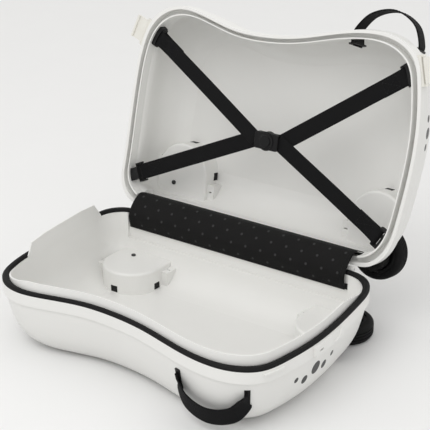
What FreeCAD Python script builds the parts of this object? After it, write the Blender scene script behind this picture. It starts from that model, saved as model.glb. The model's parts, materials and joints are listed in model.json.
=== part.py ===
"""Ride-on suitcase: two moulded half shells on one long hinge, shown with the lid standing open.

Every half is drawn in its own flat frame: x along the hinge, y away from the hinge axis and z
down from the parting plane into the half. The base is then turned over onto the floor and the
lid is mirrored and swung open. All lengths are in millimetres.
"""
import FreeCAD, Part
import functools
import math
import os

V = FreeCAD.Vector

# Rim outline, on the centre line of the seal
RIM_LENGTH = 508.0
RIM_REACH = 332.0
RIM_SETBACK = 10.0
# Points of the outline as shares of half the length and half the reach
OUTLINE_SHARES = (
    (-1.000, -0.699), (-0.980, -0.277), (-0.957, 0.235), (-0.929, 0.518), (-0.874, 0.735),
    (-0.787, 0.867), (-0.650, 0.934), (-0.492, 0.904), (-0.252, 0.819), (-0.079, 0.807),
    (0.197, 0.855), (0.433, 0.946), (0.650, 1.000), (0.807, 0.973), (0.925, 0.849),
    (0.972, 0.633), (0.998, 0.265), (0.984, -0.217), (0.957, -0.548), (0.913, -0.807),
    (0.807, -0.976), (0.689, -1.000), (0.236, -1.000), (-0.276, -1.000), (-0.787, -1.000),
    (-0.921, -0.970), (-0.984, -0.867))

# Half shells
BODY_DEPTH = 102.0
BELLY_INSET = 54.0
WALL = 2.2
BAND_PROUD = 4.5
BAND_DEPTH = 20.0
STEP_PROUD = 1.0
# Side wall section from the rim band to the belly: depth share, inset share
PROFILE_SHARES = ((0.0, 0.0), (0.30, 0.07), (0.55, 0.165), (0.73, 0.29), (0.88, 0.49),
                  (0.963, 0.727), (1.0, 1.0))
OVERRUN = 2.0
OPEN_ANGLE = 100.0

# Seal and rim joint
SEAL_HEIGHT = 5.0
SEAL_RISE = 2.0
SEAL_ROUND = 2.4
SEAL_EDGE_INSET = 0.2
LID_GAP = 0.3
TONGUE_INSET = 4.6
TONGUE_THICK = 2.0
TONGUE_RISE = 15.0
TONGUE_START = 50.0
TONGUE_REAR_START = -228.0
TONGUE_RUN = 75.0
GROOVE_OUTER_INSET = 0.5
GROOVE_CLEARANCE = 1.0
GROOVE_SPARE = 2.5
LIP_THICK = 1.8
LIP_SETBACK = 0.2
# Raised panel at the rear end of the base: reach share of the rim, rise share of the panel
END_PANEL_RISE = 25.0
END_PANEL_SHARES = ((0.170, 0.0), (0.222, 0.93), (0.33, 1.0), (0.59, 0.86),
                    (0.690, 0.72), (0.722, 0.0))
END_PANEL_CLEARANCE = 0.5

# Hinge
HINGE_LENGTH = 384.0
HINGE_MID = -4.0
KNUCKLE_COUNT = 7
KNUCKLE_GAP = 0.5
BARREL_RADIUS = 4.5
PIN_RADIUS = 2.0
RUNNING_CLEARANCE = 0.05
ARM_BACK = 4.0
ARM_FRONT = 4.2
ARM_DEPTH = 13.0
ARM_ROOT_DEPTH = 7.0
STOP_REACH = 9.5
STOP_THICK = 3.0
STOP_CLEARANCE = 0.4

# Fabric cover over the hinge, and the strips that hold its hems
COVER_LEFT = -219.0
COVER_RIGHT = 184.0
COVER_THICK = 1.6
COVER_BASE_DROP = 26.0
COVER_LID_DROP = 36.0
COVER_STANDOFF = 2.2
COVER_CREST = 6.0
COVER_BAY_WALL = 5.2
COVER_BAY_DEPTH = 46.0
COVER_BAY_REACH = 50.0
COVER_SIDE_ROOM = 4.0
STRIP_HEIGHT = 9.0
STRIP_THICK = 1.6
STRIP_END = 3.4

# Wheels and the pockets that they run in
WHEEL_OUT = 182.0
WHEEL_REACH = 11.0
WHEEL_RADIUS = 43.0
WHEEL_WIDTH = 28.0
TYRE_THICK = 11.0
TYRE_ROUND_SHARE = 0.30
TREAD_GROOVES = 3
TREAD_GROOVE_WIDTH = 1.6
TREAD_GROOVE_DEPTH = 1.5
HUB_FACE_INSET = 2.0
HUB_WEB = 6.0
HUB_RIM = 4.0
HUB_BOSS_RADIUS = 10.0
HUB_SPOKES = 5
SPOKE_WIDTH = 8.0
AXLE_RADIUS = 4.0
CAP_RADIUS = 8.0
CAP_THICK = 2.6
CAP_CLEARANCE = 0.4
SEAT_GAP = 0.05
CUP_RADIUS = 48.5
CUP_REACH = 59.0
CUP_ROOF = 64.0
CUP_ROUND = 4.0
CUP_TAIL = 60.0
LUG_LENGTH = 24.0
LUG_WIDTH = 12.0
LUG_ROOF = 73.0
LUG_INNER_REACH = 36.0
LUG_OUTER_REACH = 66.0
LUG_SLOT_LENGTH = 7.0
LUG_SLOT_WIDTH = 2.0
WINDOW_WIDTH = 13.0
WINDOW_HEIGHT = 11.0
WINDOW_CLEARANCE = 0.6
WINDOW_LIFT = 1.5
GUARD_GAP = 0.3
GUARD_WALL = 2.2
GUARD_PLATE = 3.4
GUARD_EAR_RADIUS = 26.0
GUARD_SOCKET_RADIUS = 8.0
WHEEL_ROOM = 2.5
HUB_GAP = 0.5
GUARD_SCREW_OUT = 14.0
GUARD_SCREW_REACH = 40.0
SCREW_RADIUS = 2.0
SCREW_HEAD_RADIUS = 3.6
SCREW_HEAD_HEIGHT = 1.8

# Flap latches on the lid's band, and their keepers on the base's band
LATCH_SHARES = ((-0.905, 0.630), (0.958, 0.740))
LATCH_LENGTH = 44.0
LATCH_PLATE_TOP = 4.0
LATCH_PLATE_HEIGHT = 15.0
LATCH_PLATE_THICK = 2.2
LATCH_SINK = 6.0
LATCH_EAR = 3.2
LATCH_EAR_GAP = 0.4
LATCH_PIN_RADIUS = 1.5
LATCH_PIN_PROUD = 5.3
LATCH_PIN_DEPTH = 9.0
LATCH_BARREL_RADIUS = 2.7
FLAP_REACH = 21.5
FLAP_THICK = 2.6
FLAP_LIP = 3.4
FLAP_LIP_RISE = 2.2
HOOK_HEIGHT = 2.4
HOOK_DEPTH = 2.4
KEEPER_LENGTH = 34.0
KEEPER_TOP = 6.6
KEEPER_HEIGHT = 2.4
KEEPER_PROUD = 2.4
KEEPER_GAP = 0.5
LATCH_SCREW_SPACING = 30.0
LATCH_SCREW_DEPTH = 16.0
LATCH_SCREW_RADIUS = 1.4
LATCH_SCREW_HEAD_RADIUS = 2.4
LATCH_SCREW_HEAD_HEIGHT = 0.9

# Catch plate for a tow strap on the front end of the base
CATCH_SHARE = (0.995, 0.080)
CATCH_LENGTH = 72.0
CATCH_TOP = 3.6
CATCH_HEIGHT = 15.0
CATCH_PROUD = 4.0
CATCH_POCKET_RADIUS = 13.0
CATCH_POCKET_DEPTH = 5.0
CATCH_POCKET_OFFSET = 18.0
CATCH_SLOT_LENGTH = 9.0
CATCH_SLOT_WIDTH = 3.0

# Cross straps inside the lid, their anchors and the buckle
STRAP_WIDTH = 25.0
STRAP_THICK = 1.6
STRAP_DEPTH = 13.0
# The straps of a pair lie one above the other, this far from the middle of the buckle
STRAP_LAYER = 1.0
# Bars of the anchors and the middle of the buckle, as shares of half the rim, with the layer
ANCHOR_SHARES = ((-0.828, 0.622, -1), (-0.880, -0.705, 1), (0.880, 0.690, 1),
                 (0.840, -0.732, -1))
BUCKLE_SHARE = (0.031, -0.125)
ANCHOR_BAR_RADIUS = 1.9
ANCHOR_CHEEK = 2.6
ANCHOR_CHEEK_GAP = 0.6
ANCHOR_CHEEK_RADIUS = 4.6
ANCHOR_PLATE_THICK = 6.0
ANCHOR_PLATE_HEIGHT = 13.0
ANCHOR_ROOT = 40.0
ANCHOR_RING = 8.6
ANCHOR_BLOCK_WIDTH = 20.0
ANCHOR_BLOCK_REACH = 24.0
BUCKLE_LENGTH = 42.0
BUCKLE_WIDTH = 26.0
BUCKLE_THICK = 11.0
BUCKLE_CORNER = 4.0
BUCKLE_EDGE = 1.5
BUCKLE_BOSS_RADIUS = 14.5
STRAP_JOIN = 22.5
STRAP_TUCK = 5.0
STRAP_SLOT_CLEARANCE = 0.3
COLLAR_RADIUS = 13.0
COLLAR_RISE = 1.4
BUTTON_RADIUS = 9.0
BUTTON_RISE = 2.2
BUTTON_TRAVEL = 2.5
BUTTON_THICK = 4.6
BUTTON_CLEARANCE = 0.1
BUTTON_FLANGE_RADIUS = 10.2
BUTTON_FLANGE_THICK = 1.4
BUTTON_WELL_RADIUS = 10.6
SPRING_SOLID = 3.9
SPRING_RADIUS = 6.0
SPRING_WALL = 1.2
SPRING_END_GAP = 0.2

# Webbing carry handles on the saddle side
HANDLE_SHARES = ((0.480, 0.96), (0.885, 0.915))
HANDLE_DEPTH = 47.0
HANDLE_TILT = 12.0
HANDLE_WIDTH = 26.0
HANDLE_THICK = 2.2
HANDLE_STANDOUT = 46.0
HANDLE_BASE_STANDOUT = 18.0
HANDLE_BASE_DROP = 30.0
# Shoulders of a handle's arch: place along the chord, share of the full arch
HANDLE_ARCH_SHARES = ((0.15, 0.70), (0.50, 1.0), (0.85, 0.70))
CURVE_STEPS = 12
SLEEVE_WALL = 1.4
SLEEVE_FLANGE = 1.2
SLEEVE_FLANGE_THICK = 1.6
SLEEVE_CLEARANCE = 0.3
SLEEVE_REACH = 14.0
RETAINER_HEIGHT = 31.0
RETAINER_WIDTH = 12.0
RETAINER_THICK = 2.4
HANDLE_TAIL = 2.0

# Values worked out from the driving sizes
HALF_LENGTH = RIM_LENGTH / 2
HALF_REACH = RIM_REACH / 2
RIM_MIDDLE = RIM_SETBACK + HALF_REACH
LEDGE_DEPTH = SEAL_HEIGHT - SEAL_RISE
LID_RIM_DEPTH = SEAL_RISE + LID_GAP
BASE_INNER_INSET = TONGUE_INSET + TONGUE_THICK
GROOVE_INNER_INSET = BASE_INNER_INSET + GROOVE_CLEARANCE
LID_INNER_INSET = GROOVE_INNER_INSET + LIP_THICK + LIP_SETBACK
KNUCKLE_PITCH = HINGE_LENGTH / KNUCKLE_COUNT
HINGE_START = HINGE_MID - HINGE_LENGTH / 2
WHEEL_INNER_FACE = BODY_DEPTH - WHEEL_WIDTH
GUARD_TOP = CUP_ROOF + WALL + GUARD_GAP
GUARD_RADIUS = CUP_RADIUS - WALL - GUARD_GAP
SIDES = {"rear": -1, "front": 1}
HALVES = ("base", "lid")


# Placing a half in the finished object

def to_base(shape):
    """Turn a flat-frame shape over onto the floor, hinge axis at the back."""
    placed = shape.copy()
    placed.rotate(V(0, 0, 0), V(1, 0, 0), 180)
    placed.translate(V(0, RIM_MIDDLE, BODY_DEPTH))
    return placed


def to_lid(shape):
    """Mirror a flat-frame shape into the lid and swing it open about the hinge axis."""
    placed = to_base(shape.mirror(V(0, 0, 0), V(0, 0, 1)))
    placed.rotate(V(0, RIM_MIDDLE, BODY_DEPTH), V(1, 0, 0), -OPEN_ANGLE)
    return placed


PLACE = {"base": to_base, "lid": to_lid}


# Drawing helpers in the flat frame

def outline_point(share, inset=0.0):
    """Place one outline share, drawn in by an inset."""
    return V(share[0] * (HALF_LENGTH - inset), RIM_MIDDLE + share[1] * (HALF_REACH - inset), 0)


def outline_parameters():
    """Chord lengths along the outline, shared by every section so that lofts stay light."""
    points = [outline_point(share) for share in OUTLINE_SHARES]
    parameters = [0.0]
    for here, following in zip(points, points[1:] + points[:1]):
        parameters.append(parameters[-1] + here.distanceToPoint(following))
    return parameters


def outline_curve(inset, depth):
    """Closed smooth outline at one inset and depth."""
    points = [outline_point(share, inset) + V(0, 0, depth) for share in OUTLINE_SHARES]
    curve = Part.BSplineCurve()
    curve.interpolate(Points=points, PeriodicFlag=True, Parameters=outline_parameters())
    return curve


def outline_wire(inset, depth):
    """Outline as a wire."""
    return Part.Wire([outline_curve(inset, depth).toShape()])


def slab(inset, top, bottom):
    """Straight-sided block inside the outline."""
    return Part.Face(outline_wire(inset, top)).extrude(V(0, 0, bottom - top))


def ring(outer_inset, inner_inset, top, bottom):
    """Straight-sided ring between two insets of the outline."""
    return slab(outer_inset, top, bottom).cut(slab(inner_inset, top - OVERRUN, bottom + OVERRUN))


def skin(rows):
    """Smooth body through outlines given as depth and inset."""
    return Part.makeLoft([outline_wire(inset, depth) for depth, inset in rows], True, False)


def block(low, high):
    """Box between two corners."""
    return Part.makeBox(high.x - low.x, high.y - low.y, high.z - low.z, low)


def upright(radius, centre, top, bottom):
    """Round bar square to the parting plane."""
    return Part.makeCylinder(radius, bottom - top, V(centre.x, centre.y, top))


def stadium(radius, centre, tail, top, bottom):
    """Round-fronted block that runs straight back towards the hinge by its tail."""
    body = upright(radius, centre, top, bottom)
    low = V(centre.x - radius, centre.y - tail, top)
    return body.fuse(block(low, V(centre.x + radius, centre.y, bottom))).removeSplitter()


def rim_frame(share, inset):
    """Placement on the outline: x along the rim, y outwards, z down into the half."""
    curve = outline_curve(inset, 0.0)
    place = curve.parameter(outline_point(share, inset))
    origin = curve.value(place)
    tangent = V(*curve.tangent(place)[0])
    outward = V(tangent.y, -tangent.x, 0)
    if outward.dot(origin - V(0, RIM_MIDDLE, 0)) < 0:
        outward = outward * -1
    along = V(outward.y, -outward.x, 0)
    return FreeCAD.Placement(FreeCAD.Matrix(
        along.x, outward.x, 0, origin.x,
        along.y, outward.y, 0, origin.y,
        0, 0, 1, 0,
        0, 0, 0, 1))


def at_rim(shape, share, inset):
    """Move a shape drawn about the rim frame onto the rim."""
    moved = shape.copy()
    moved.Placement = rim_frame(share, inset).multiply(moved.Placement)
    return moved


def facing(origin, target):
    """Placement with x from origin towards target, in the flat frame."""
    along = target - origin
    turn = FreeCAD.Rotation(V(0, 0, 1), math.degrees(math.atan2(along.y, along.x)))
    return FreeCAD.Placement(origin, turn)


def placed(shape, placement):
    """Copy of a shape at a placement."""
    moved = shape.copy()
    moved.Placement = placement.multiply(moved.Placement)
    return moved


# Half shells

def outer_rows():
    """Depth and inset of the outside, from the rim band to the belly."""
    depth_span = BODY_DEPTH - BAND_DEPTH
    inset_span = BELLY_INSET + STEP_PROUD
    rows = [(BAND_DEPTH - OVERRUN, -STEP_PROUD)]
    for depth_share, inset_share in PROFILE_SHARES:
        rows.append((BAND_DEPTH + depth_share * depth_span, -STEP_PROUD + inset_share * inset_span))
    return rows


@functools.lru_cache(maxsize=None)
def outer_body(rim_depth):
    """Solid outside of a half: the proud rim band on the rounded tub."""
    return slab(-BAND_PROUD, rim_depth, BAND_DEPTH).fuse(skin(outer_rows()))


def cavity(rim_depth, inner_inset):
    """Inside of a half, straight at the rim and one wall inside the tub."""
    rows = [(rim_depth - OVERRUN, inner_inset)]
    for depth, inset in outer_rows()[1:]:
        sink = WALL * (depth - BAND_DEPTH) / (BODY_DEPTH - BAND_DEPTH)
        rows.append((depth - sink, max(inner_inset + sink / 2, inset + WALL)))
    return skin(rows)


def wheel_centre(side):
    """Axle place in the flat frame."""
    return V(SIDES[side] * WHEEL_OUT, WHEEL_REACH, 0)


def cup_centre(side):
    """Middle of the rounded front of a wheel pocket."""
    return V(SIDES[side] * WHEEL_OUT, CUP_REACH, 0)


def cup(side):
    """Outside of a wheel pocket, as it stands up inside the half."""
    body = stadium(CUP_RADIUS, cup_centre(side), CUP_TAIL, CUP_ROOF, BODY_DEPTH)
    top_edges = [edge for edge in body.Edges if abs(edge.BoundBox.ZMax - CUP_ROOF) < SEAT_GAP]
    return body.makeFillet(CUP_ROUND, top_edges)


def lug_box(side, hand, reach, shrink):
    """Hollow ear beside a wheel pocket; shrink draws its inside in by the wall."""
    middle = SIDES[side] * WHEEL_OUT
    near = middle + hand * (CUP_RADIUS - CUP_ROUND)
    far = middle + hand * (CUP_RADIUS + LUG_WIDTH - shrink)
    low = V(min(near, far), reach - LUG_LENGTH / 2 + shrink, LUG_ROOF + shrink)
    return block(low, V(max(near, far), reach + LUG_LENGTH / 2 - shrink, BODY_DEPTH + shrink))


def lug_places(side):
    """Hand and reach of the ears of a pocket; the rear pockets have one on the end side too."""
    towards_middle = (-SIDES[side], LUG_INNER_REACH)
    return [towards_middle] if side == "front" else [towards_middle, (SIDES[side], LUG_OUTER_REACH)]


def lug_slot(side, hand, reach):
    """Narrow slot through the roof of an ear."""
    middle = V(SIDES[side] * WHEEL_OUT + hand * (CUP_RADIUS + LUG_WIDTH / 2), reach, LUG_ROOF)
    half = V(LUG_SLOT_LENGTH / 2, LUG_SLOT_WIDTH / 2, OVERRUN + WALL)
    return block(middle - half, middle + half)


def hook_bar(side, angle, width, height, start, end):
    """Bar that runs out of a wheel pocket at an angle, low on its wall."""
    low = V(start, -width / 2, BODY_DEPTH - WALL - WINDOW_LIFT - WINDOW_HEIGHT / 2 - height / 2)
    bar = block(low, low + V(end - start, width, height))
    return placed(bar, FreeCAD.Placement(cup_centre(side), FreeCAD.Rotation(V(0, 0, 1), angle)))


def window_angles(side):
    """Directions of the clip windows round a pocket: towards the saddle, and to mid length."""
    return (90.0, 90.0 + SIDES[side] * 90.0)


def window(side, angle):
    """Clip window through the wall of a wheel pocket."""
    return hook_bar(side, angle, WINDOW_WIDTH, WINDOW_HEIGHT, CUP_RADIUS - WALL - OVERRUN,
                    CUP_RADIUS + OVERRUN)


def guard_screw_place(side):
    """Place of the screw that holds a wheel guard up against the roof of its pocket."""
    return V(SIDES[side] * (WHEEL_OUT + GUARD_SCREW_OUT), GUARD_SCREW_REACH, 0)


def knuckles(first):
    """Hinge barrels with their arms, every second one from the first."""
    bodies = []
    for index in range(first, KNUCKLE_COUNT, 2):
        start = HINGE_START + index * KNUCKLE_PITCH + KNUCKLE_GAP / 2
        end = start + KNUCKLE_PITCH - KNUCKLE_GAP
        barrel = Part.makeCylinder(BARREL_RADIUS, end - start, V(start, 0, 0), V(1, 0, 0))
        arm = block(V(start, -ARM_BACK, 0), V(end, ARM_FRONT, ARM_DEPTH))
        root_reach = RIM_SETBACK - BAND_PROUD + WALL
        root = block(V(start, 0, ARM_ROOT_DEPTH), V(end, root_reach, ARM_DEPTH))
        bodies.append(barrel.fuse([arm, root]))
    return bodies


def stop_shelves():
    """Shelves on the base under the lid's barrels, which the open lid's arms rest on."""
    lean = math.radians(OPEN_ANGLE - 90)
    top = STOP_REACH * math.tan(lean) + ARM_BACK / math.cos(lean) + STOP_CLEARANCE
    shelves = []
    for index in range(1, KNUCKLE_COUNT, 2):
        start = HINGE_START + index * KNUCKLE_PITCH + KNUCKLE_GAP
        end = start + KNUCKLE_PITCH - 2 * KNUCKLE_GAP
        root_reach = RIM_SETBACK - BAND_PROUD + WALL
        shelves.append(block(V(start, -STOP_REACH, top), V(end, root_reach, top + STOP_THICK)))
    return shelves


def hinge_bore():
    """Bore for the hinge pin through all the barrels."""
    return Part.makeCylinder(PIN_RADIUS + RUNNING_CLEARANCE, HINGE_LENGTH + 2 * OVERRUN,
                             V(HINGE_START - OVERRUN, 0, 0), V(1, 0, 0))


def cover_bay():
    """Room cleared along the back wall for the fabric hinge cover."""
    start = RIM_SETBACK + COVER_BAY_WALL
    low = V(COVER_LEFT - COVER_SIDE_ROOM, start, -END_PANEL_RISE - OVERRUN)
    return block(low, V(COVER_RIGHT + COVER_SIDE_ROOM, start + COVER_BAY_REACH, COVER_BAY_DEPTH))


def handle_wall_inset():
    """Inset of the outside wall at the depth of the handles."""
    rows = outer_rows()
    for (upper, inset_a), (lower, inset_b) in zip(rows, rows[1:]):
        if upper <= HANDLE_DEPTH <= lower:
            return inset_a + (inset_b - inset_a) * (HANDLE_DEPTH - upper) / (lower - upper)
    return rows[-1][1]


def handle_frame(index):
    """Placement at one handle slot: x along the rim, y square to the leaning wall, z down it."""
    lean = FreeCAD.Placement(V(0, 0, HANDLE_DEPTH), FreeCAD.Rotation(V(1, 0, 0), HANDLE_TILT))
    return rim_frame(HANDLE_SHARES[index], handle_wall_inset()).multiply(lean)


def handle_slot(index):
    """Slot through the side wall for one end of a handle, with its sleeve."""
    half = V(sleeve_width() / 2 + SEAT_GAP, SLEEVE_REACH + OVERRUN, sleeve_height() / 2 + SEAT_GAP)
    return placed(block(half * -1, half), handle_frame(index))


def sleeve_width():
    """Outside width of a handle sleeve, across the webbing."""
    return HANDLE_THICK + 2 * SLEEVE_CLEARANCE + 2 * SLEEVE_WALL


def sleeve_height():
    """Outside height of a handle sleeve, along the webbing."""
    return HANDLE_WIDTH + 2 * SLEEVE_CLEARANCE + 2 * SLEEVE_WALL


def half_shell(rim_depth, inner_inset, extras):
    """One moulded half: tub, rim band, wheel pockets, their ears and windows, and slots."""
    inside = cavity(rim_depth, inner_inset)
    for side in SIDES:
        inside = inside.cut(cup(side))
        for hand, reach in lug_places(side):
            inside = inside.cut(lug_box(side, hand, reach, 0.0))
    shell = outer_body(rim_depth).fuse(extras).cut(inside)
    for side in SIDES:
        cutters = [stadium(CUP_RADIUS - WALL, cup_centre(side), CUP_TAIL, CUP_ROOF + WALL,
                           BODY_DEPTH + OVERRUN)]
        for hand, reach in lug_places(side):
            cutters.append(lug_box(side, hand, reach, WALL))
            cutters.append(lug_slot(side, hand, reach))
        for angle in window_angles(side):
            cutters.append(window(side, angle))
        cutters.append(upright(SCREW_RADIUS + SLEEVE_CLEARANCE, guard_screw_place(side),
                               CUP_ROOF - OVERRUN, GUARD_TOP))
        shell = shell.cut(cutters)
    slots = [handle_slot(index) for index in range(len(HANDLE_SHARES))]
    return shell.cut(slots + [cover_bay(), hinge_bore()])


def tongue_ramp(start):
    """Closed line of place and depth that climbs from the ledge to the full lip."""
    line = [(start, LEDGE_DEPTH), (start + TONGUE_RUN, -TONGUE_RISE), (2 * RIM_LENGTH, -TONGUE_RISE),
            (2 * RIM_LENGTH, RIM_REACH), (start, RIM_REACH)]
    return line + line[:1]


def tongue():
    """Upstanding inner lip of the base, run out at its ends and raised into a rear panel."""
    points = [V(-RIM_LENGTH, reach * RIM_REACH, -rise * END_PANEL_RISE)
              for reach, rise in END_PANEL_SHARES]
    points = [V(-RIM_LENGTH, points[0].y, LEDGE_DEPTH)] + points
    points.append(V(-RIM_LENGTH, points[-1].y, LEDGE_DEPTH))
    panel = Part.Face(Part.makePolygon(points + points[:1])).extrude(V(RIM_LENGTH, 0, 0))
    reach_line = [V(-RIM_LENGTH, place, depth) for place, depth in tongue_ramp(TONGUE_START)]
    length_line = [V(place, 0, depth) for place, depth in tongue_ramp(TONGUE_REAR_START)]
    lip = Part.Face(Part.makePolygon(reach_line)).extrude(V(2 * RIM_LENGTH, 0, 0))
    lip = lip.common(Part.Face(Part.makePolygon(length_line)).extrude(V(0, 2 * RIM_REACH, 0)))
    whole = ring(TONGUE_INSET, BASE_INNER_INSET, -END_PANEL_RISE - OVERRUN, LEDGE_DEPTH + WALL)
    return whole.common(lip.fuse(panel))


def base_shell():
    """Lower half with the tongue, its hinge barrels and the stop shelves."""
    shell = half_shell(LEDGE_DEPTH, BASE_INNER_INSET, knuckles(0) + stop_shelves())
    return shell.fuse(tongue().cut(cover_bay()))


def lid_shell():
    """Upper half with its hinge barrels, and a rim cleared for the tongue inside a thin lip."""
    shell = half_shell(LID_RIM_DEPTH, LID_INNER_INSET, knuckles(1))
    top = LID_RIM_DEPTH - OVERRUN
    floor = TONGUE_RISE + GROOVE_SPARE
    lip = ring(GROOVE_INNER_INSET, GROOVE_INNER_INSET + LIP_THICK, LID_RIM_DEPTH, floor + LIP_THICK)
    shell = shell.cut(slab(GROOVE_OUTER_INSET, top, floor)).fuse(lip.cut(cover_bay()))
    deep = ring(TONGUE_INSET - END_PANEL_CLEARANCE, BASE_INNER_INSET + END_PANEL_CLEARANCE, top,
                END_PANEL_RISE + GROOVE_SPARE)
    reach_low = END_PANEL_SHARES[0][0] * RIM_REACH - 2 * GROOVE_SPARE
    reach_high = END_PANEL_SHARES[-1][0] * RIM_REACH + 2 * GROOVE_SPARE
    span = block(V(-RIM_LENGTH, reach_low, -RIM_REACH), V(0, reach_high, RIM_REACH))
    return shell.cut(deep.common(span))


def rim_seal():
    """Rubber bead on the ledge of the base, round-shouldered outside and inside."""
    inner = TONGUE_INSET - SEAL_EDGE_INSET
    outer = -BAND_PROUD + SEAL_EDGE_INSET
    rows = ((LEDGE_DEPTH, outer), (SEAL_ROUND - SEAL_RISE, outer),
            (-SEAL_RISE, outer + SEAL_ROUND))
    body = Part.makeLoft([outline_wire(inset, depth) for depth, inset in rows], True, True)
    hole_rows = ((LEDGE_DEPTH + OVERRUN, inner), (SEAL_ROUND - SEAL_RISE, inner),
                 (-SEAL_RISE, inner - SEAL_ROUND), (-SEAL_RISE - OVERRUN, inner - SEAL_ROUND))
    hole = Part.makeLoft([outline_wire(inset, depth) for depth, inset in hole_rows], True, True)
    return body.cut(hole)


# Hinge pin and cover

def hinge_pin():
    """Steel pin through all the barrels."""
    return Part.makeCylinder(PIN_RADIUS, HINGE_LENGTH, V(HINGE_START, 0, 0), V(1, 0, 0))


def cover_wall():
    """Reach of the cover's line along the back walls."""
    return RIM_SETBACK + COVER_BAY_WALL + COVER_STANDOFF


def lid_point(reach, depth):
    """Point of the open lid in the base's flat frame, in the plane across the hinge."""
    lean = math.radians(OPEN_ANGLE)
    return V(0, reach * math.cos(lean) - depth * math.sin(lean),
             -reach * math.sin(lean) - depth * math.cos(lean))


def hinge_cover():
    """Fabric strip from the base's back wall over the hinge to the open lid's back wall."""
    reach = cover_wall()
    line = [V(0, reach, COVER_BASE_DROP), V(0, reach + STRIP_THICK, LEDGE_DEPTH / 2),
            lid_point(reach + COVER_CREST, COVER_CREST / 2), lid_point(reach, COVER_LID_DROP)]
    curve = Part.BSplineCurve()
    curve.interpolate(Points=line)
    front = curve.discretize(CURVE_STEPS + 1)
    back = []
    for step, point in enumerate(front):
        along = front[min(step + 1, CURVE_STEPS)] - front[max(step - 1, 0)]
        across = V(0, -along.z, along.y).normalize()
        back.append(point + across * COVER_THICK)
    section = Part.makePolygon(front + back[::-1] + front[:1])
    strip = Part.Face(section).extrude(V(COVER_RIGHT - COVER_LEFT, 0, 0))
    strip.translate(V(COVER_LEFT, 0, 0))
    return strip


def cover_strip(drop):
    """Flat strip on the back wall that carries one hem of the cover."""
    start = RIM_SETBACK + COVER_BAY_WALL
    low = V(COVER_LEFT, start, drop - STRIP_HEIGHT)
    return block(low, V(COVER_RIGHT + STRIP_END, start + STRIP_THICK, drop))


# Wheels

def tyre(side):
    """Rubber tyre with rounded shoulders and grooves round its tread."""
    centre = wheel_centre(side)
    inner = WHEEL_RADIUS - TYRE_THICK
    body = upright(WHEEL_RADIUS, centre, WHEEL_INNER_FACE, BODY_DEPTH)
    body = body.makeFillet(TYRE_ROUND_SHARE * WHEEL_WIDTH,
                           [edge for edge in body.Edges if edge.isClosed()])
    body = body.cut(upright(inner, centre, WHEEL_INNER_FACE - OVERRUN, BODY_DEPTH + OVERRUN))
    spacing = WHEEL_WIDTH / (TREAD_GROOVES + 3)
    for index in range(TREAD_GROOVES):
        middle = WHEEL_INNER_FACE + WHEEL_WIDTH / 2 + (index - (TREAD_GROOVES - 1) / 2) * spacing
        top = middle - TREAD_GROOVE_WIDTH / 2
        groove_ring = upright(WHEEL_RADIUS + OVERRUN, centre, top, top + TREAD_GROOVE_WIDTH)
        body = body.cut(groove_ring.cut(upright(WHEEL_RADIUS - TREAD_GROOVE_DEPTH, centre, top,
                                                top + TREAD_GROOVE_WIDTH)))
    return body


def hub(side):
    """Spoked plastic wheel centre, bored for the axle and recessed for its cap."""
    centre = wheel_centre(side)
    outer = WHEEL_RADIUS - TYRE_THICK - SEAT_GAP
    top = WHEEL_INNER_FACE + HUB_FACE_INSET
    bottom = BODY_DEPTH - HUB_FACE_INSET
    rim = upright(outer, centre, top, bottom).cut(
        upright(outer - HUB_RIM, centre, top - OVERRUN, bottom + OVERRUN))
    boss = upright(HUB_BOSS_RADIUS, centre, top + HUB_FACE_INSET, bottom)
    middle = (top + bottom) / 2
    web = upright(outer - HUB_RIM / 2, centre, middle - HUB_WEB / 2, middle + HUB_WEB / 2)
    bodies = [boss, web]
    for index in range(HUB_SPOKES):
        spoke = block(V(0, -SPOKE_WIDTH / 2, middle),
                      V(outer - HUB_RIM / 2, SPOKE_WIDTH / 2, bottom - HUB_FACE_INSET))
        turn = FreeCAD.Rotation(V(0, 0, 1), 360.0 * index / HUB_SPOKES)
        bodies.append(placed(spoke, FreeCAD.Placement(centre, turn)))
    bore = upright(AXLE_RADIUS + RUNNING_CLEARANCE, centre, top - OVERRUN, bottom + OVERRUN)
    recess = upright(CAP_RADIUS + CAP_CLEARANCE, centre, bottom - CAP_THICK - CAP_CLEARANCE,
                     bottom + OVERRUN)
    return rim.fuse(bodies).cut([bore, recess]).removeSplitter()


def axle(side):
    """Steel axle, seated in the guard's socket and carrying the wheel."""
    return upright(AXLE_RADIUS, wheel_centre(side), GUARD_TOP,
                   BODY_DEPTH - HUB_FACE_INSET - CAP_THICK / 2)


def axle_cap(side):
    """Push-on cap that keeps the wheel on its axle."""
    bottom = BODY_DEPTH - HUB_FACE_INSET
    body = upright(CAP_RADIUS, wheel_centre(side), bottom - CAP_THICK, bottom)
    return body.cut(upright(AXLE_RADIUS + SEAT_GAP, wheel_centre(side), bottom - CAP_THICK - OVERRUN,
                            bottom - CAP_THICK / 2))


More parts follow.
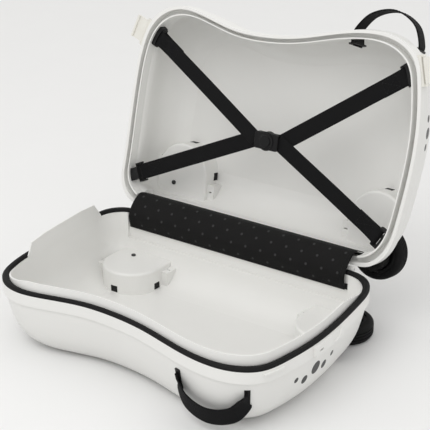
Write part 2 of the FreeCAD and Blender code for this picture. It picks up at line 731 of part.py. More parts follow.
def wheel_guard(side):
    """Clip-in bracket: a plate with the axle socket, and the cheek that closes the pocket."""
    centre = wheel_centre(side)
    room = WHEEL_RADIUS + WHEEL_ROOM
    plate_bottom = GUARD_TOP + GUARD_PLATE
    tail = CUP_REACH - WHEEL_REACH
    body = stadium(GUARD_RADIUS, cup_centre(side), tail, GUARD_TOP, BODY_DEPTH)
    body = body.cut(upright(room, centre, plate_bottom, BODY_DEPTH + OVERRUN))
    hollow = stadium(GUARD_RADIUS - GUARD_WALL, cup_centre(side), tail, plate_bottom,
                     BODY_DEPTH - GUARD_WALL)
    hollow = hollow.cut(upright(room + GUARD_WALL, centre, GUARD_TOP, BODY_DEPTH))
    roof_hole = upright(GUARD_RADIUS - 3 * GUARD_WALL, cup_centre(side), GUARD_TOP - OVERRUN,
                        plate_bottom)
    roof_hole = roof_hole.cut(upright(room + 3 * GUARD_WALL, centre, GUARD_TOP - OVERRUN, BODY_DEPTH))
    body = body.cut([hollow, roof_hole]).common(outer_body(LEDGE_DEPTH))
    ear = upright(GUARD_EAR_RADIUS, centre, GUARD_TOP, plate_bottom)
    socket_bottom = WHEEL_INNER_FACE + 2 * HUB_FACE_INSET - HUB_GAP
    socket = upright(GUARD_SOCKET_RADIUS, centre, GUARD_TOP, socket_bottom)
    body = body.fuse([ear, socket])
    for angle in window_angles(side):
        body = body.fuse(hook_bar(side, angle, WINDOW_WIDTH - 2 * WINDOW_CLEARANCE,
                                  WINDOW_HEIGHT - 2 * WINDOW_CLEARANCE, GUARD_RADIUS - GUARD_WALL,
                                  CUP_RADIUS))
    holes = [upright(AXLE_RADIUS + SEAT_GAP, centre, GUARD_TOP - OVERRUN, socket_bottom + OVERRUN),
             upright(SCREW_RADIUS + SEAT_GAP, guard_screw_place(side), GUARD_TOP - OVERRUN,
                     plate_bottom + OVERRUN)]
    return body.cut(holes).removeSplitter()


def guard_screw(side):
    """Screw through the pocket's roof into the guard's plate."""
    place = guard_screw_place(side)
    head = upright(SCREW_HEAD_RADIUS, place, CUP_ROOF - SCREW_HEAD_HEIGHT, CUP_ROOF)
    shank = upright(SCREW_RADIUS, place, CUP_ROOF, GUARD_TOP + GUARD_PLATE)
    return head.fuse(shank).removeSplitter()


# Latches, keepers and the catch plate

def latch_plate(share):
    """Hinge plate of a latch, shaped to the lid's band."""
    half = LATCH_LENGTH / 2
    body = block(V(-half, -LATCH_SINK, LATCH_PLATE_TOP),
                 V(half, LATCH_PLATE_THICK, LATCH_PLATE_TOP + LATCH_PLATE_HEIGHT))
    for hand in (-1, 1):
        start = min(hand * half, hand * (half - LATCH_EAR))
        low = V(start, 0, LATCH_PIN_DEPTH - LATCH_BARREL_RADIUS)
        ear = block(low, low + V(LATCH_EAR, LATCH_PIN_PROUD, 2 * LATCH_BARREL_RADIUS))
        tip_place = V(start, LATCH_PIN_PROUD, LATCH_PIN_DEPTH)
        tip = Part.makeCylinder(LATCH_BARREL_RADIUS, LATCH_EAR, tip_place, V(1, 0, 0))
        body = body.fuse([ear, tip])
    bore = Part.makeCylinder(LATCH_PIN_RADIUS + RUNNING_CLEARANCE, LATCH_LENGTH + 2 * OVERRUN,
                             V(-half - OVERRUN, LATCH_PIN_PROUD, LATCH_PIN_DEPTH), V(1, 0, 0))
    body = body.cut(bore)
    for place in latch_screw_places():
        length = LATCH_SINK + 2 * LATCH_PLATE_THICK
        body = body.cut(Part.makeCylinder(LATCH_SCREW_RADIUS + SEAT_GAP, length,
                                          place - V(0, LATCH_SINK, 0), V(0, 1, 0)))
    band = slab(-BAND_PROUD, LID_RIM_DEPTH - OVERRUN, BAND_DEPTH + OVERRUN)
    return at_rim(body, share, -BAND_PROUD).cut(band)


def latch_screw_places():
    """Screw places on a latch plate, in its rim frame."""
    return [V(hand * LATCH_SCREW_SPACING / 2, LATCH_PLATE_THICK, LATCH_SCREW_DEPTH)
            for hand in (-1, 1)]


def latch_screws(share):
    """The two screws of one latch plate, as their heads and shanks in the plate."""
    screws = []
    for place in latch_screw_places():
        head = Part.makeCylinder(LATCH_SCREW_HEAD_RADIUS, LATCH_SCREW_HEAD_HEIGHT, place, V(0, 1, 0))
        shank = Part.makeCylinder(LATCH_SCREW_RADIUS, LATCH_PLATE_THICK, place, V(0, -1, 0))
        screws.append(at_rim(head.fuse(shank).removeSplitter(), share, -BAND_PROUD))
    return Part.makeCompound(screws)


def latch_pin(share):
    """Pin of one latch flap."""
    start = V(-LATCH_LENGTH / 2, LATCH_PIN_PROUD, LATCH_PIN_DEPTH)
    pin = Part.makeCylinder(LATCH_PIN_RADIUS, LATCH_LENGTH, start, V(1, 0, 0))
    return at_rim(pin, share, -BAND_PROUD)


def latch_flap(share):
    """Latch flap standing open: barrel, leaf, thick lip and the hook that grips the keeper."""
    half = LATCH_LENGTH / 2 - LATCH_EAR - LATCH_EAR_GAP
    axis = V(-half, LATCH_PIN_PROUD, LATCH_PIN_DEPTH)
    barrel = Part.makeCylinder(LATCH_BARREL_RADIUS, 2 * half, axis, V(1, 0, 0))
    leaf = block(axis + V(0, 0, -FLAP_THICK / 2), axis + V(2 * half, FLAP_REACH, FLAP_THICK / 2))
    lip = block(axis + V(0, FLAP_REACH - FLAP_LIP, -FLAP_THICK / 2 - FLAP_LIP_RISE),
                axis + V(2 * half, FLAP_REACH, FLAP_THICK / 2))
    hook_start = LATCH_PIN_DEPTH + KEEPER_TOP + KEEPER_HEIGHT + KEEPER_GAP
    hook_half = KEEPER_LENGTH / 2 - KEEPER_GAP
    hook = block(V(-hook_half, axis.y + hook_start, axis.z),
                 V(hook_half, axis.y + hook_start + HOOK_HEIGHT, axis.z + FLAP_THICK / 2 + HOOK_DEPTH))
    bore = Part.makeCylinder(LATCH_PIN_RADIUS + RUNNING_CLEARANCE, 2 * half + 2 * OVERRUN,
                             axis - V(OVERRUN, 0, 0), V(1, 0, 0))
    return at_rim(barrel.fuse([leaf, lip, hook]).cut(bore).removeSplitter(), share, -BAND_PROUD)


def latch_keeper(share):
    """Rib on the base's band that the latch hook grips."""
    half = KEEPER_LENGTH / 2
    body = block(V(-half, -LATCH_SINK, KEEPER_TOP), V(half, KEEPER_PROUD, KEEPER_TOP + KEEPER_HEIGHT))
    band = slab(-BAND_PROUD, LEDGE_DEPTH - OVERRUN, BAND_DEPTH + OVERRUN)
    return at_rim(body, share, -BAND_PROUD).cut(band)


def catch_plate():
    """Plate on the front end of the base with a finger pocket and a strap slot."""
    half = CATCH_LENGTH / 2
    body = block(V(-half, -LATCH_SINK, CATCH_TOP), V(half, CATCH_PROUD, CATCH_TOP + CATCH_HEIGHT))
    pocket_place = V(CATCH_POCKET_OFFSET, CATCH_PROUD - CATCH_POCKET_DEPTH / 2, CATCH_TOP)
    pocket = Part.makeCylinder(CATCH_POCKET_RADIUS, CATCH_POCKET_DEPTH, pocket_place, V(0, 1, 0))
    slot_low = V(-CATCH_POCKET_OFFSET - CATCH_SLOT_LENGTH, -LATCH_SINK, CATCH_TOP + CATCH_HEIGHT / 2)
    slot = block(slot_low, V(-CATCH_POCKET_OFFSET, CATCH_PROUD + OVERRUN,
                             slot_low.z + CATCH_SLOT_WIDTH))
    body = at_rim(body.cut([pocket, slot]), CATCH_SHARE, -BAND_PROUD)
    return body.cut(slab(-BAND_PROUD, LEDGE_DEPTH - OVERRUN, BAND_DEPTH + OVERRUN))


# Cross straps

def buckle_centre():
    """Middle of the buckle, between the layers of the straps."""
    return outline_point(BUCKLE_SHARE) + V(0, 0, STRAP_DEPTH)


def anchor_centre(share):
    """Middle of an anchor's bar at the layer of its strap."""
    return outline_point(share) + V(0, 0, STRAP_DEPTH + share[2] * STRAP_LAYER)


def strap_join(share):
    """Point at the end of the buckle where a strap meets the other strap of its pair."""
    hand = math.copysign(STRAP_JOIN, share[0])
    return buckle_centre() + V(hand, 0, share[2] * STRAP_LAYER)


def strap_length(share):
    """Length of a strap from its anchor's bar to its end in the buckle."""
    return anchor_centre(share).distanceToPoint(strap_join(share)) + STRAP_TUCK


def strap_loop_radius():
    """Outside radius of the sewn loop round an anchor's bar."""
    return ANCHOR_BAR_RADIUS + STRAP_SLOT_CLEARANCE + STRAP_THICK


def strap(share):
    """Webbing from the loop on its anchor's bar to the buckle."""
    start = anchor_centre(share)
    loop = Part.makeCylinder(strap_loop_radius(), STRAP_WIDTH, V(0, -STRAP_WIDTH / 2, 0), V(0, 1, 0))
    tail = block(V(0, -STRAP_WIDTH / 2, -STRAP_THICK / 2),
                 V(strap_length(share), STRAP_WIDTH / 2, STRAP_THICK / 2))
    eye = Part.makeCylinder(ANCHOR_BAR_RADIUS + STRAP_SLOT_CLEARANCE, STRAP_WIDTH + 2 * OVERRUN,
                            V(0, -STRAP_WIDTH / 2 - OVERRUN, 0), V(0, 1, 0))
    return placed(loop.fuse(tail).cut(eye).removeSplitter(), facing(start, strap_join(share)))


def anchor(share):
    """Bar between two cheeks: on a plate along the lid's lip above, as a ring on a block below."""
    start = anchor_centre(share)
    is_ring = share[1] < 0
    root = ANCHOR_RING if is_ring else ANCHOR_ROOT
    inner = STRAP_WIDTH / 2 + ANCHOR_CHEEK_GAP
    outer = inner + ANCHOR_CHEEK
    bar = Part.makeCylinder(ANCHOR_BAR_RADIUS, 2 * outer, V(0, -outer, 0), V(0, 1, 0))
    bodies = []
    for low in (-outer, inner):
        round_end = Part.makeCylinder(ANCHOR_CHEEK_RADIUS, ANCHOR_CHEEK, V(0, low, 0), V(0, 1, 0))
        arm = block(V(-root, low, -ANCHOR_CHEEK_RADIUS), V(0, low + ANCHOR_CHEEK, ANCHOR_CHEEK_RADIUS))
        bodies += [round_end, arm]
    if is_ring:
        bodies.append(block(V(-root, -outer, -ANCHOR_CHEEK_RADIUS),
                            V(ANCHOR_CHEEK - root, outer, ANCHOR_CHEEK_RADIUS)))
    frame = placed(bar.fuse(bodies), facing(start, strap_join(share)))
    top = STRAP_DEPTH - ANCHOR_PLATE_HEIGHT / 2
    bottom = STRAP_DEPTH + ANCHOR_PLATE_HEIGHT / 2
    thick = ANCHOR_BLOCK_REACH if is_ring else ANCHOR_PLATE_THICK
    plate = ring(LID_INNER_INSET + SEAT_GAP, LID_INNER_INSET + thick, top, bottom)
    wide = ANCHOR_BLOCK_WIDTH / 2 if is_ring else outer
    front = ANCHOR_CHEEK - root if is_ring else 0.0
    footprint = block(V(-ANCHOR_ROOT, -wide, -BODY_DEPTH), V(front, wide, BODY_DEPTH))
    loop_room = Part.makeCylinder(strap_loop_radius() + STRAP_SLOT_CLEARANCE, 2 * inner, V(0, -inner, 0),
                                  V(0, 1, 0))
    plate = plate.common(placed(footprint.cut(loop_room), facing(start, strap_join(share))))
    inside = slab(LID_INNER_INSET + SEAT_GAP, LID_RIM_DEPTH, BAND_DEPTH + STRAP_DEPTH)
    return frame.common(inside).fuse(plate).removeSplitter()


def buckle_body():
    """Cross buckle: a block with a round middle, a slot for each strap and the button's well."""
    half = V(BUCKLE_LENGTH / 2, BUCKLE_WIDTH / 2, BUCKLE_THICK / 2)
    body = block(V(0, 0, 0) - half, half)
    corners = [edge for edge in body.Edges if edge.BoundBox.ZLength > BUCKLE_THICK / 2]
    body = body.makeFillet(BUCKLE_CORNER, corners)
    flat_edges = [edge for edge in body.Edges if edge.BoundBox.ZLength < SEAT_GAP]
    body = body.makeFillet(BUCKLE_EDGE, flat_edges)
    face = -BUCKLE_THICK / 2
    body = body.fuse([upright(BUCKLE_BOSS_RADIUS, V(0, 0, 0), face, -face),
                      upright(COLLAR_RADIUS, V(0, 0, 0), face - COLLAR_RISE, 0)])
    body = body.cut([
        upright(BUTTON_RADIUS + BUTTON_CLEARANCE, V(0, 0, 0), face - COLLAR_RISE - OVERRUN, 0),
        upright(BUTTON_WELL_RADIUS, V(0, 0, 0), button_flange_top() - SPRING_END_GAP, button_well_floor())])
    body = placed(body, FreeCAD.Placement(buckle_centre(), FreeCAD.Rotation()))
    for share in ANCHOR_SHARES:
        half = V(strap_length(share) + STRAP_SLOT_CLEARANCE, STRAP_WIDTH / 2 + STRAP_SLOT_CLEARANCE,
                 STRAP_THICK / 2 + STRAP_SLOT_CLEARANCE)
        slot = block(V(0, -half.y, -half.z), half)
        body = body.cut(placed(slot, facing(anchor_centre(share), strap_join(share))))
    return body.removeSplitter()


def button_flange_top():
    """Depth of the button's retaining flange, measured from the buckle's middle."""
    return -BUCKLE_THICK / 2 - COLLAR_RISE - BUTTON_RISE + BUTTON_THICK


def button_well_floor():
    """Floor of the button's well: room for the flange's travel and the closed spring."""
    return button_flange_top() + BUTTON_FLANGE_THICK + BUTTON_TRAVEL + SPRING_SOLID


def buckle_button():
    """Round push button with the flange that keeps it in the buckle."""
    top = -BUCKLE_THICK / 2 - COLLAR_RISE - BUTTON_RISE
    body = upright(BUTTON_RADIUS, V(0, 0, 0), top, top + BUTTON_THICK)
    face_edges = [edge for edge in body.Edges if abs(edge.BoundBox.ZMax - top) < SEAT_GAP]
    body = body.makeFillet(BUCKLE_EDGE / 2, face_edges)
    flange = upright(BUTTON_FLANGE_RADIUS, V(0, 0, 0), button_flange_top(),
                     button_flange_top() + BUTTON_FLANGE_THICK)
    return placed(body.fuse(flange), FreeCAD.Placement(buckle_centre(), FreeCAD.Rotation()))


def button_spring():
    """Return spring under the button, as a plain sleeve."""
    top = button_flange_top() + BUTTON_FLANGE_THICK + SPRING_END_GAP
    bottom = button_well_floor() - SPRING_END_GAP
    body = upright(SPRING_RADIUS, V(0, 0, 0), top, bottom)
    body = body.cut(upright(SPRING_RADIUS - SPRING_WALL, V(0, 0, 0), top - OVERRUN, bottom + OVERRUN))
    return placed(body, FreeCAD.Placement(buckle_centre(), FreeCAD.Rotation()))


# Carry handles

def handle_curve(standout, drop):
    """Middle line of a handle: straight through its sleeves, then an arch that sags by the drop."""
    frames = [handle_frame(index) for index in range(len(HANDLE_SHARES))]
    outward = frames[0].Rotation.multVec(V(0, 1, 0)) + frames[1].Rotation.multVec(V(0, 1, 0))
    outward = V(outward.x, outward.y, 0).normalize()
    tail = -SLEEVE_REACH - RETAINER_THICK - HANDLE_TAIL
    reaches = (tail, tail / 2, 0.0, SLEEVE_FLANGE_THICK, 2 * SLEEVE_FLANGE_THICK)
    entry = [frames[0].multVec(V(0, reach, 0)) for reach in reaches]
    leave = [frames[1].multVec(V(0, reach, 0)) for reach in reversed(reaches)]
    arch = [frames[0].Base + (frames[1].Base - frames[0].Base) * place
            + (outward * standout + V(0, 0, drop)) * full for place, full in HANDLE_ARCH_SHARES]
    curve = Part.BSplineCurve()
    curve.interpolate(Points=entry + arch + leave)
    return curve


def handle(standout, drop):
    """Webbing loop that keeps its width along the wall from one sleeve to the other."""
    curve = handle_curve(standout, drop)
    frames = [handle_frame(index) for index in range(len(HANDLE_SHARES))]
    first, last = [frame.Rotation.multVec(V(0, 0, 1)) for frame in frames]
    points = curve.discretize(4 * CURVE_STEPS + 1)
    sections = []
    for step, centre in enumerate(points):
        share = step / (len(points) - 1)
        along = V(*curve.tangent(curve.parameter(centre))[0])
        wide = first * (1 - share) + last * share
        wide = (wide - along * wide.dot(along)).normalize()
        across = along.cross(wide) * (HANDLE_THICK / 2)
        wide = wide * (HANDLE_WIDTH / 2)
        corners = [centre + across + wide, centre + across - wide, centre - across - wide,
                   centre - across + wide]
        sections.append(Part.makePolygon(corners + corners[:1]))
    return Part.makeLoft(sections, True, True)


def webbing_hole(length):
    """Opening for the webbing, along y from the outside in."""
    half = V(HANDLE_THICK / 2 + SLEEVE_CLEARANCE, length, HANDLE_WIDTH / 2 + SLEEVE_CLEARANCE)
    return block(half * -1, half)


def handle_sleeve(index):
    """Flanged sleeve that lines one handle slot in the side wall."""
    frame = handle_frame(index)
    half = V(sleeve_width() / 2, SLEEVE_FLANGE_THICK, sleeve_height() / 2)
    liner = block(V(-half.x, -SLEEVE_REACH, -half.z), half)
    rim = half + V(SLEEVE_FLANGE, 0, SLEEVE_FLANGE)
    flange = placed(block(rim * -1, rim), frame).cut(outer_body(LEDGE_DEPTH))
    flange.translate(frame.Rotation.multVec(V(0, SEAT_GAP, 0)))
    return placed(liner, frame).fuse(flange).cut(placed(webbing_hole(2 * SLEEVE_REACH), frame))


def handle_retainer(index):
    """Plate on the inner end of a sleeve that the webbing's end is fastened to."""
    back = -SLEEVE_REACH - SEAT_GAP
    plate = block(V(-RETAINER_WIDTH / 2, back - RETAINER_THICK, -RETAINER_HEIGHT / 2),
                  V(RETAINER_WIDTH / 2, back, RETAINER_HEIGHT / 2))
    return placed(plate.cut(webbing_hole(2 * SLEEVE_REACH)), handle_frame(index))


# Putting the object together

def export(name, shape):
    """Write one node and print its size."""
    shape.exportStep("parts/%s.step" % name)
    print(name, "solids", len(shape.Solids), "volume", round(shape.Volume, 1), "valid", shape.isValid())


def build_shells():
    """Half shells, seal, hinge pin, cover and its strips."""
    export("base_shell", to_base(base_shell()))
    export("lid_shell", to_lid(lid_shell()))
    export("rim_seal", to_base(rim_seal()))
    export("hinge_pin", to_base(hinge_pin()))
    export("hinge_cover", to_base(hinge_cover()))
    export("cover_strip_base", to_base(cover_strip(COVER_BASE_DROP)))
    export("cover_strip_lid", to_lid(cover_strip(COVER_LID_DROP)))


def build_wheels():
    """Four wheels with their guards and axles."""
    makers = {"wheel_guard": wheel_guard, "axle": axle, "axle_cap": axle_cap, "hub": hub,
              "tyre": tyre}
    for half in HALVES:
        for side in SIDES:
            for name, maker in makers.items():
                export("%s_%s_%s" % (name, half, side), PLACE[half](maker(side)))
        screws = Part.makeCompound([guard_screw(side) for side in SIDES])
        export("guard_screws_%s" % half, PLACE[half](screws))


def build_latches():
    """Two flap latches, their keepers and screws, and the catch plate."""
    for side, share in zip(SIDES, LATCH_SHARES):
        export("latch_plate_%s" % side, to_lid(latch_plate(share)))
        export("latch_pin_%s" % side, to_lid(latch_pin(share)))
        export("latch_flap_%s" % side, to_lid(latch_flap(share)))
        export("latch_screws_%s" % side, to_lid(latch_screws(share)))
        export("latch_keeper_%s" % side, to_base(latch_keeper(share)))
    export("catch_plate", to_base(catch_plate()))


def build_straps():
    """Cross straps in the lid with anchors, buckle, button and spring."""
    corners = ("rear_upper", "rear_lower", "front_upper", "front_lower")
    for corner, share in zip(corners, ANCHOR_SHARES):
        export("strap_%s" % corner, to_lid(strap(share)))
        export("strap_anchor_%s" % corner, to_lid(anchor(share)))
    export("buckle_body", to_lid(buckle_body()))
    export("buckle_button", to_lid(buckle_button()))
    export("button_spring", to_lid(button_spring()))


def build_handles():
    """Carry handles, the sleeves that they pass through and the plates that hold their ends."""
    ends = range(len(HANDLE_SHARES))
    sleeves = Part.makeCompound([handle_sleeve(index) for index in ends])
    retainers = Part.makeCompound([handle_retainer(index) for index in ends])
    export("handle_base", to_base(handle(HANDLE_BASE_STANDOUT, HANDLE_BASE_DROP)))
    export("handle_lid", to_lid(handle(HANDLE_STANDOUT, 0.0)))
    for half in HALVES:
        export("handle_sleeves_%s" % half, PLACE[half](sleeves))
        export("handle_retainers_%s" % half, PLACE[half](retainers))


def main():
    """Build and write every node."""
    os.makedirs("parts", exist_ok=True)
    build_shells()
    build_wheels()
    build_latches()
    build_straps()
    build_handles()


if __name__ == "__main__":
    main()
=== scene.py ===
"""Looks of an open ride-on suitcase: its finishes, webbing, hinge cover, floor, light and camera."""

import json
import logging
import math
from collections.abc import Callable, Sequence
from dataclasses import dataclass, field
from enum import Enum
from functools import partial

import bmesh
import bpy
from mathutils import Matrix, Vector, noise

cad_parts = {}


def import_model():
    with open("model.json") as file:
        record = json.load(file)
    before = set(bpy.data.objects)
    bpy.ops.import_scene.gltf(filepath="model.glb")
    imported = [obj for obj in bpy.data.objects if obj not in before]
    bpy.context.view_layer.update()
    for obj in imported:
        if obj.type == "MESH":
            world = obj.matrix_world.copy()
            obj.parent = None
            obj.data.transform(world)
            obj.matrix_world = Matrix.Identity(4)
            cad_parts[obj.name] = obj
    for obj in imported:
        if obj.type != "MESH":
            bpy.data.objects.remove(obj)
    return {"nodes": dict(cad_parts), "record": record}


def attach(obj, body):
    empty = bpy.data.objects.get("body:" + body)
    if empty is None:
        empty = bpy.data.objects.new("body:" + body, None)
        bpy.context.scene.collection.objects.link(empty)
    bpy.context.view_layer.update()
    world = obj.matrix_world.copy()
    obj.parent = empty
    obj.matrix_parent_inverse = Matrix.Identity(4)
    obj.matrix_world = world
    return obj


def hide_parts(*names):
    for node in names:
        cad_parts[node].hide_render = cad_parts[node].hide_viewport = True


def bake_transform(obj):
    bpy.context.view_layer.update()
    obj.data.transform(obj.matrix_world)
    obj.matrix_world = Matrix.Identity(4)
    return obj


log = logging.getLogger("suitcase")

Pair = tuple[float, float]
Triple = tuple[float, float, float]
Colour = Triple
Frame = dict[str, object]
Socket = bpy.types.NodeSocket


class Slot(str, Enum):
    """Material slots of the record."""

    WHITE = "white_plastic"
    CREAM = "cream_plastic"
    BLACK = "black_plastic"
    SEAL = "black_rubber"
    TYRE = "black_tyre"
    CLOTH = "black_fabric"
    WEBBING = "black_webbing"
    SCREW = "black_screw"
    STEEL = "steel"


class Half(str, Enum):
    """The two halves of the case, by the name of their body."""

    BASE = "base"
    LID = "lid"


# Finishes

@dataclass(frozen=True)
class MouldedFinish:
    """Moulded plastic or rubber: two tones, a fine grain, worn edges and a little dust.

    Args:
        dark: Colour in the hollows of the grain.
        light: Colour on the tops of the grain.
        worn: Colour of rubbed edges.
        dust: Colour of settled dust.
        roughness: Mean roughness.
        spread: How far the roughness varies.
        grain: Grains per metre.
        depth: Height of the grain in metres.
        wear: Share of an edge that shows wear.
        dusting: Share of dust on faces that look up.
        specular: Strength of the reflection.
    """

    dark: Colour
    light: Colour
    worn: Colour
    dust: Colour
    roughness: float
    spread: float
    grain: float
    depth: float
    wear: float = 0.3
    dusting: float = 0.1
    specular: float = 0.5


@dataclass(frozen=True)
class WovenFinish:
    """Woven cloth or webbing.

    Args:
        warp: Colour of the threads that run along the piece.
        weft: Colour of the threads that cross it.
        pitch_along: Spacing of the crossing threads in metres.
        pitch_across: Spacing of the long threads in metres.
        depth: Height of the weave in metres.
        roughness: Mean roughness.
        sheen: Weight of the fuzz.
    """

    warp: Colour
    weft: Colour
    pitch_along: float
    pitch_across: float
    depth: float
    roughness: float
    sheen: float


@dataclass(frozen=True)
class MetalFinish:
    """Drawn steel with fine lines.

    Args:
        colour: Colour of the metal.
        roughness: Mean roughness.
        lines: Lines per metre.
        depth: Height of the lines in metres.
    """

    colour: Colour
    roughness: float
    lines: float
    depth: float


MOULDED: dict[Slot, MouldedFinish] = {
    Slot.WHITE: MouldedFinish(
        dark=(0.795, 0.792, 0.770), light=(0.832, 0.829, 0.809), worn=(0.86, 0.856, 0.842),
        dust=(0.68, 0.67, 0.64), roughness=0.36, spread=0.10, grain=1400.0, depth=0.00006,
        wear=0.25, dusting=0.06),
    Slot.CREAM: MouldedFinish(
        dark=(0.745, 0.730, 0.672), light=(0.785, 0.770, 0.718), worn=(0.83, 0.82, 0.79),
        dust=(0.58, 0.57, 0.53), roughness=0.40, spread=0.10, grain=1500.0, depth=0.00006,
        wear=0.3, dusting=0.06),
    Slot.BLACK: MouldedFinish(
        dark=(0.0060, 0.0060, 0.0064), light=(0.0115, 0.0115, 0.0120), worn=(0.050, 0.049, 0.048),
        dust=(0.06, 0.059, 0.056), roughness=0.46, spread=0.14, grain=1800.0, depth=0.00008,
        wear=0.35, dusting=0.04, specular=0.16),
    Slot.SEAL: MouldedFinish(
        dark=(0.0055, 0.0055, 0.0058), light=(0.0095, 0.0095, 0.0098), worn=(0.035, 0.035, 0.035),
        dust=(0.05, 0.049, 0.047), roughness=0.60, spread=0.12, grain=2200.0, depth=0.00004,
        wear=0.15, dusting=0.05, specular=0.13),
    Slot.TYRE: MouldedFinish(
        dark=(0.0045, 0.0045, 0.0048), light=(0.0085, 0.0085, 0.0088), worn=(0.030, 0.030, 0.030),
        dust=(0.05, 0.048, 0.045), roughness=0.66, spread=0.12, grain=1600.0, depth=0.0001,
        wear=0.3, dusting=0.06, specular=0.13),
    Slot.SCREW: MouldedFinish(
        dark=(0.012, 0.012, 0.0125), light=(0.022, 0.022, 0.023), worn=(0.18, 0.18, 0.18),
        dust=(0.09, 0.088, 0.084), roughness=0.36, spread=0.10, grain=2600.0, depth=0.00003,
        wear=0.5, dusting=0.04, specular=0.3),
}
WEBBING = WovenFinish(warp=(0.0042, 0.0042, 0.0046), weft=(0.0105, 0.0105, 0.0112), pitch_along=0.0017,
                      pitch_across=0.0014, depth=0.00035, roughness=0.78, sheen=0.03)
CLOTH = WovenFinish(warp=(0.0060, 0.0060, 0.0060), weft=(0.0140, 0.0139, 0.0138), pitch_along=0.0011,
                    pitch_across=0.0011, depth=0.0002, roughness=0.82, sheen=0.03)
THREAD = WovenFinish(warp=(0.011, 0.011, 0.012), weft=(0.020, 0.020, 0.0215), pitch_along=0.0009,
                     pitch_across=0.0009, depth=0.0001, roughness=0.7, sheen=0.03)
COVER_DOT: Colour = (0.048, 0.048, 0.049)
CLOTH_DUST: Colour = (0.05, 0.05, 0.049)
STEEL = MetalFinish(colour=(0.60, 0.60, 0.61), roughness=0.30, lines=2600.0, depth=0.00003)


# Shader graphs

class Graph:
    """Short way to write a node tree.

    Args:
        tree: The tree that the nodes go in.
    """

    def __init__(self, tree: bpy.types.NodeTree) -> None:
        self.tree = tree

    def add(self, kind: str, **settings: object) -> bpy.types.Node:
        """Add a node.

        Args:
            kind: Blender's name for the node.
            **settings: Attributes of the node.

        Returns:
            The new node.
        """
        node = self.tree.nodes.new(kind)
        for name, value in settings.items():
            setattr(node, name, value)
        return node

    def put(self, value: object, socket: Socket) -> None:
        """Link an output to a socket, or set the socket's own value.

        Args:
            value: An output socket, or a plain value.
            socket: The input socket.
        """
        if isinstance(value, Socket):
            self.tree.links.new(value, socket)
        else:
            socket.default_value = value

    def feed(self, inputs: bpy.types.bpy_prop_collection, **values: object) -> None:
        """Put values in several sockets.

        Args:
            inputs: The sockets.
            **values: Outputs or plain values by socket; an underscore stands for a space.
        """
        for label, value in values.items():
            self.put(value, inputs[label.replace("_", " ")])

    def split(self, vector: Socket) -> bpy.types.bpy_prop_collection:
        """Split a vector.

        Args:
            vector: Output that gives the vector.

        Returns:
            Outputs X, Y and Z.
        """
        node = self.add("ShaderNodeSeparateXYZ")
        self.put(vector, node.inputs[0])
        return node.outputs

    def math(self, operation: str, *values: object, clamp: bool = False) -> Socket:
        """Add a Math node.

        Args:
            operation: The node's operation.
            *values: Outputs or numbers for its inputs.
            clamp: Keep the result from 0 to 1.

        Returns:
            The node's output.
        """
        node = self.add("ShaderNodeMath", operation=operation, use_clamp=clamp)
        for value, socket in zip(values, node.inputs):
            self.put(value, socket)
        return node.outputs[0]

    def mix(self, factor: object, first: object, second: object) -> Socket:
        """Mix two colours.

        Args:
            factor: Output or number, 0 for the first colour and 1 for the second.
            first: Output or colour.
            second: Output or colour.

        Returns:
            The mixed colour.
        """
        node = self.add("ShaderNodeMix", data_type="RGBA", clamp_factor=True)
        self.put(factor, node.inputs[0])
        for value, socket in ((first, node.inputs[6]), (second, node.inputs[7])):
            self.put(value if isinstance(value, Socket) else (*value, 1.0), socket)
        return node.outputs[2]

    def noise(self, vector: object, scale: object, detail: float = 2.0) -> Socket:
        """Add a noise texture.

        Args:
            vector: Output that gives the place.
            scale: Output or number of features per metre.
            detail: Octaves.

        Returns:
            The noise, from 0 to 1.
        """
        node = self.add("ShaderNodeTexNoise")
        self.feed(node.inputs, Vector=vector, Scale=scale, Detail=detail)
        return node.outputs[0]

    def bump(self, height: object, distance: object) -> Socket:
        """Turn a height into a normal.

        Args:
            height: Output from 0 to 1.
            distance: Output or height in metres.

        Returns:
            The normal.
        """
        node = self.add("ShaderNodeBump")
        self.feed(node.inputs, Strength=1.0, Distance=distance, Height=height)
        return node.outputs[0]


class EffectGroup(Graph):
    """A shader node group that gives only values, masks and normals.

    Args:
        name: Name of the group.
        inputs: Names and starting values of its inputs.
        *outputs: Names of its outputs: Normal is a vector, the others are numbers.
    """

    def __init__(self, name: str, inputs: dict[str, float], *outputs: str) -> None:
        super().__init__(bpy.data.node_groups.new(name, "ShaderNodeTree"))
        sockets = self.tree.interface
        for label, value in inputs.items():
            socket = sockets.new_socket(label, in_out="INPUT", socket_type="NodeSocketFloat")
            socket.default_value = value
        for label in outputs:
            kind = "NodeSocketVector" if label == "Normal" else "NodeSocketFloat"
            sockets.new_socket(label, in_out="OUTPUT", socket_type=kind)
        self.ins = self.add("NodeGroupInput").outputs
        self.outs = self.add("NodeGroupOutput").inputs

    def place(self, graph: Graph, **values: float) -> bpy.types.bpy_prop_collection:
        """Use the group in another graph.

        Args:
            graph: Where it is used.
            **values: Numbers for its inputs.

        Returns:
            The outputs of the group's node.
        """
        node = graph.add("ShaderNodeGroup", node_tree=self.tree)
        graph.feed(node.inputs, **values)
        return node.outputs


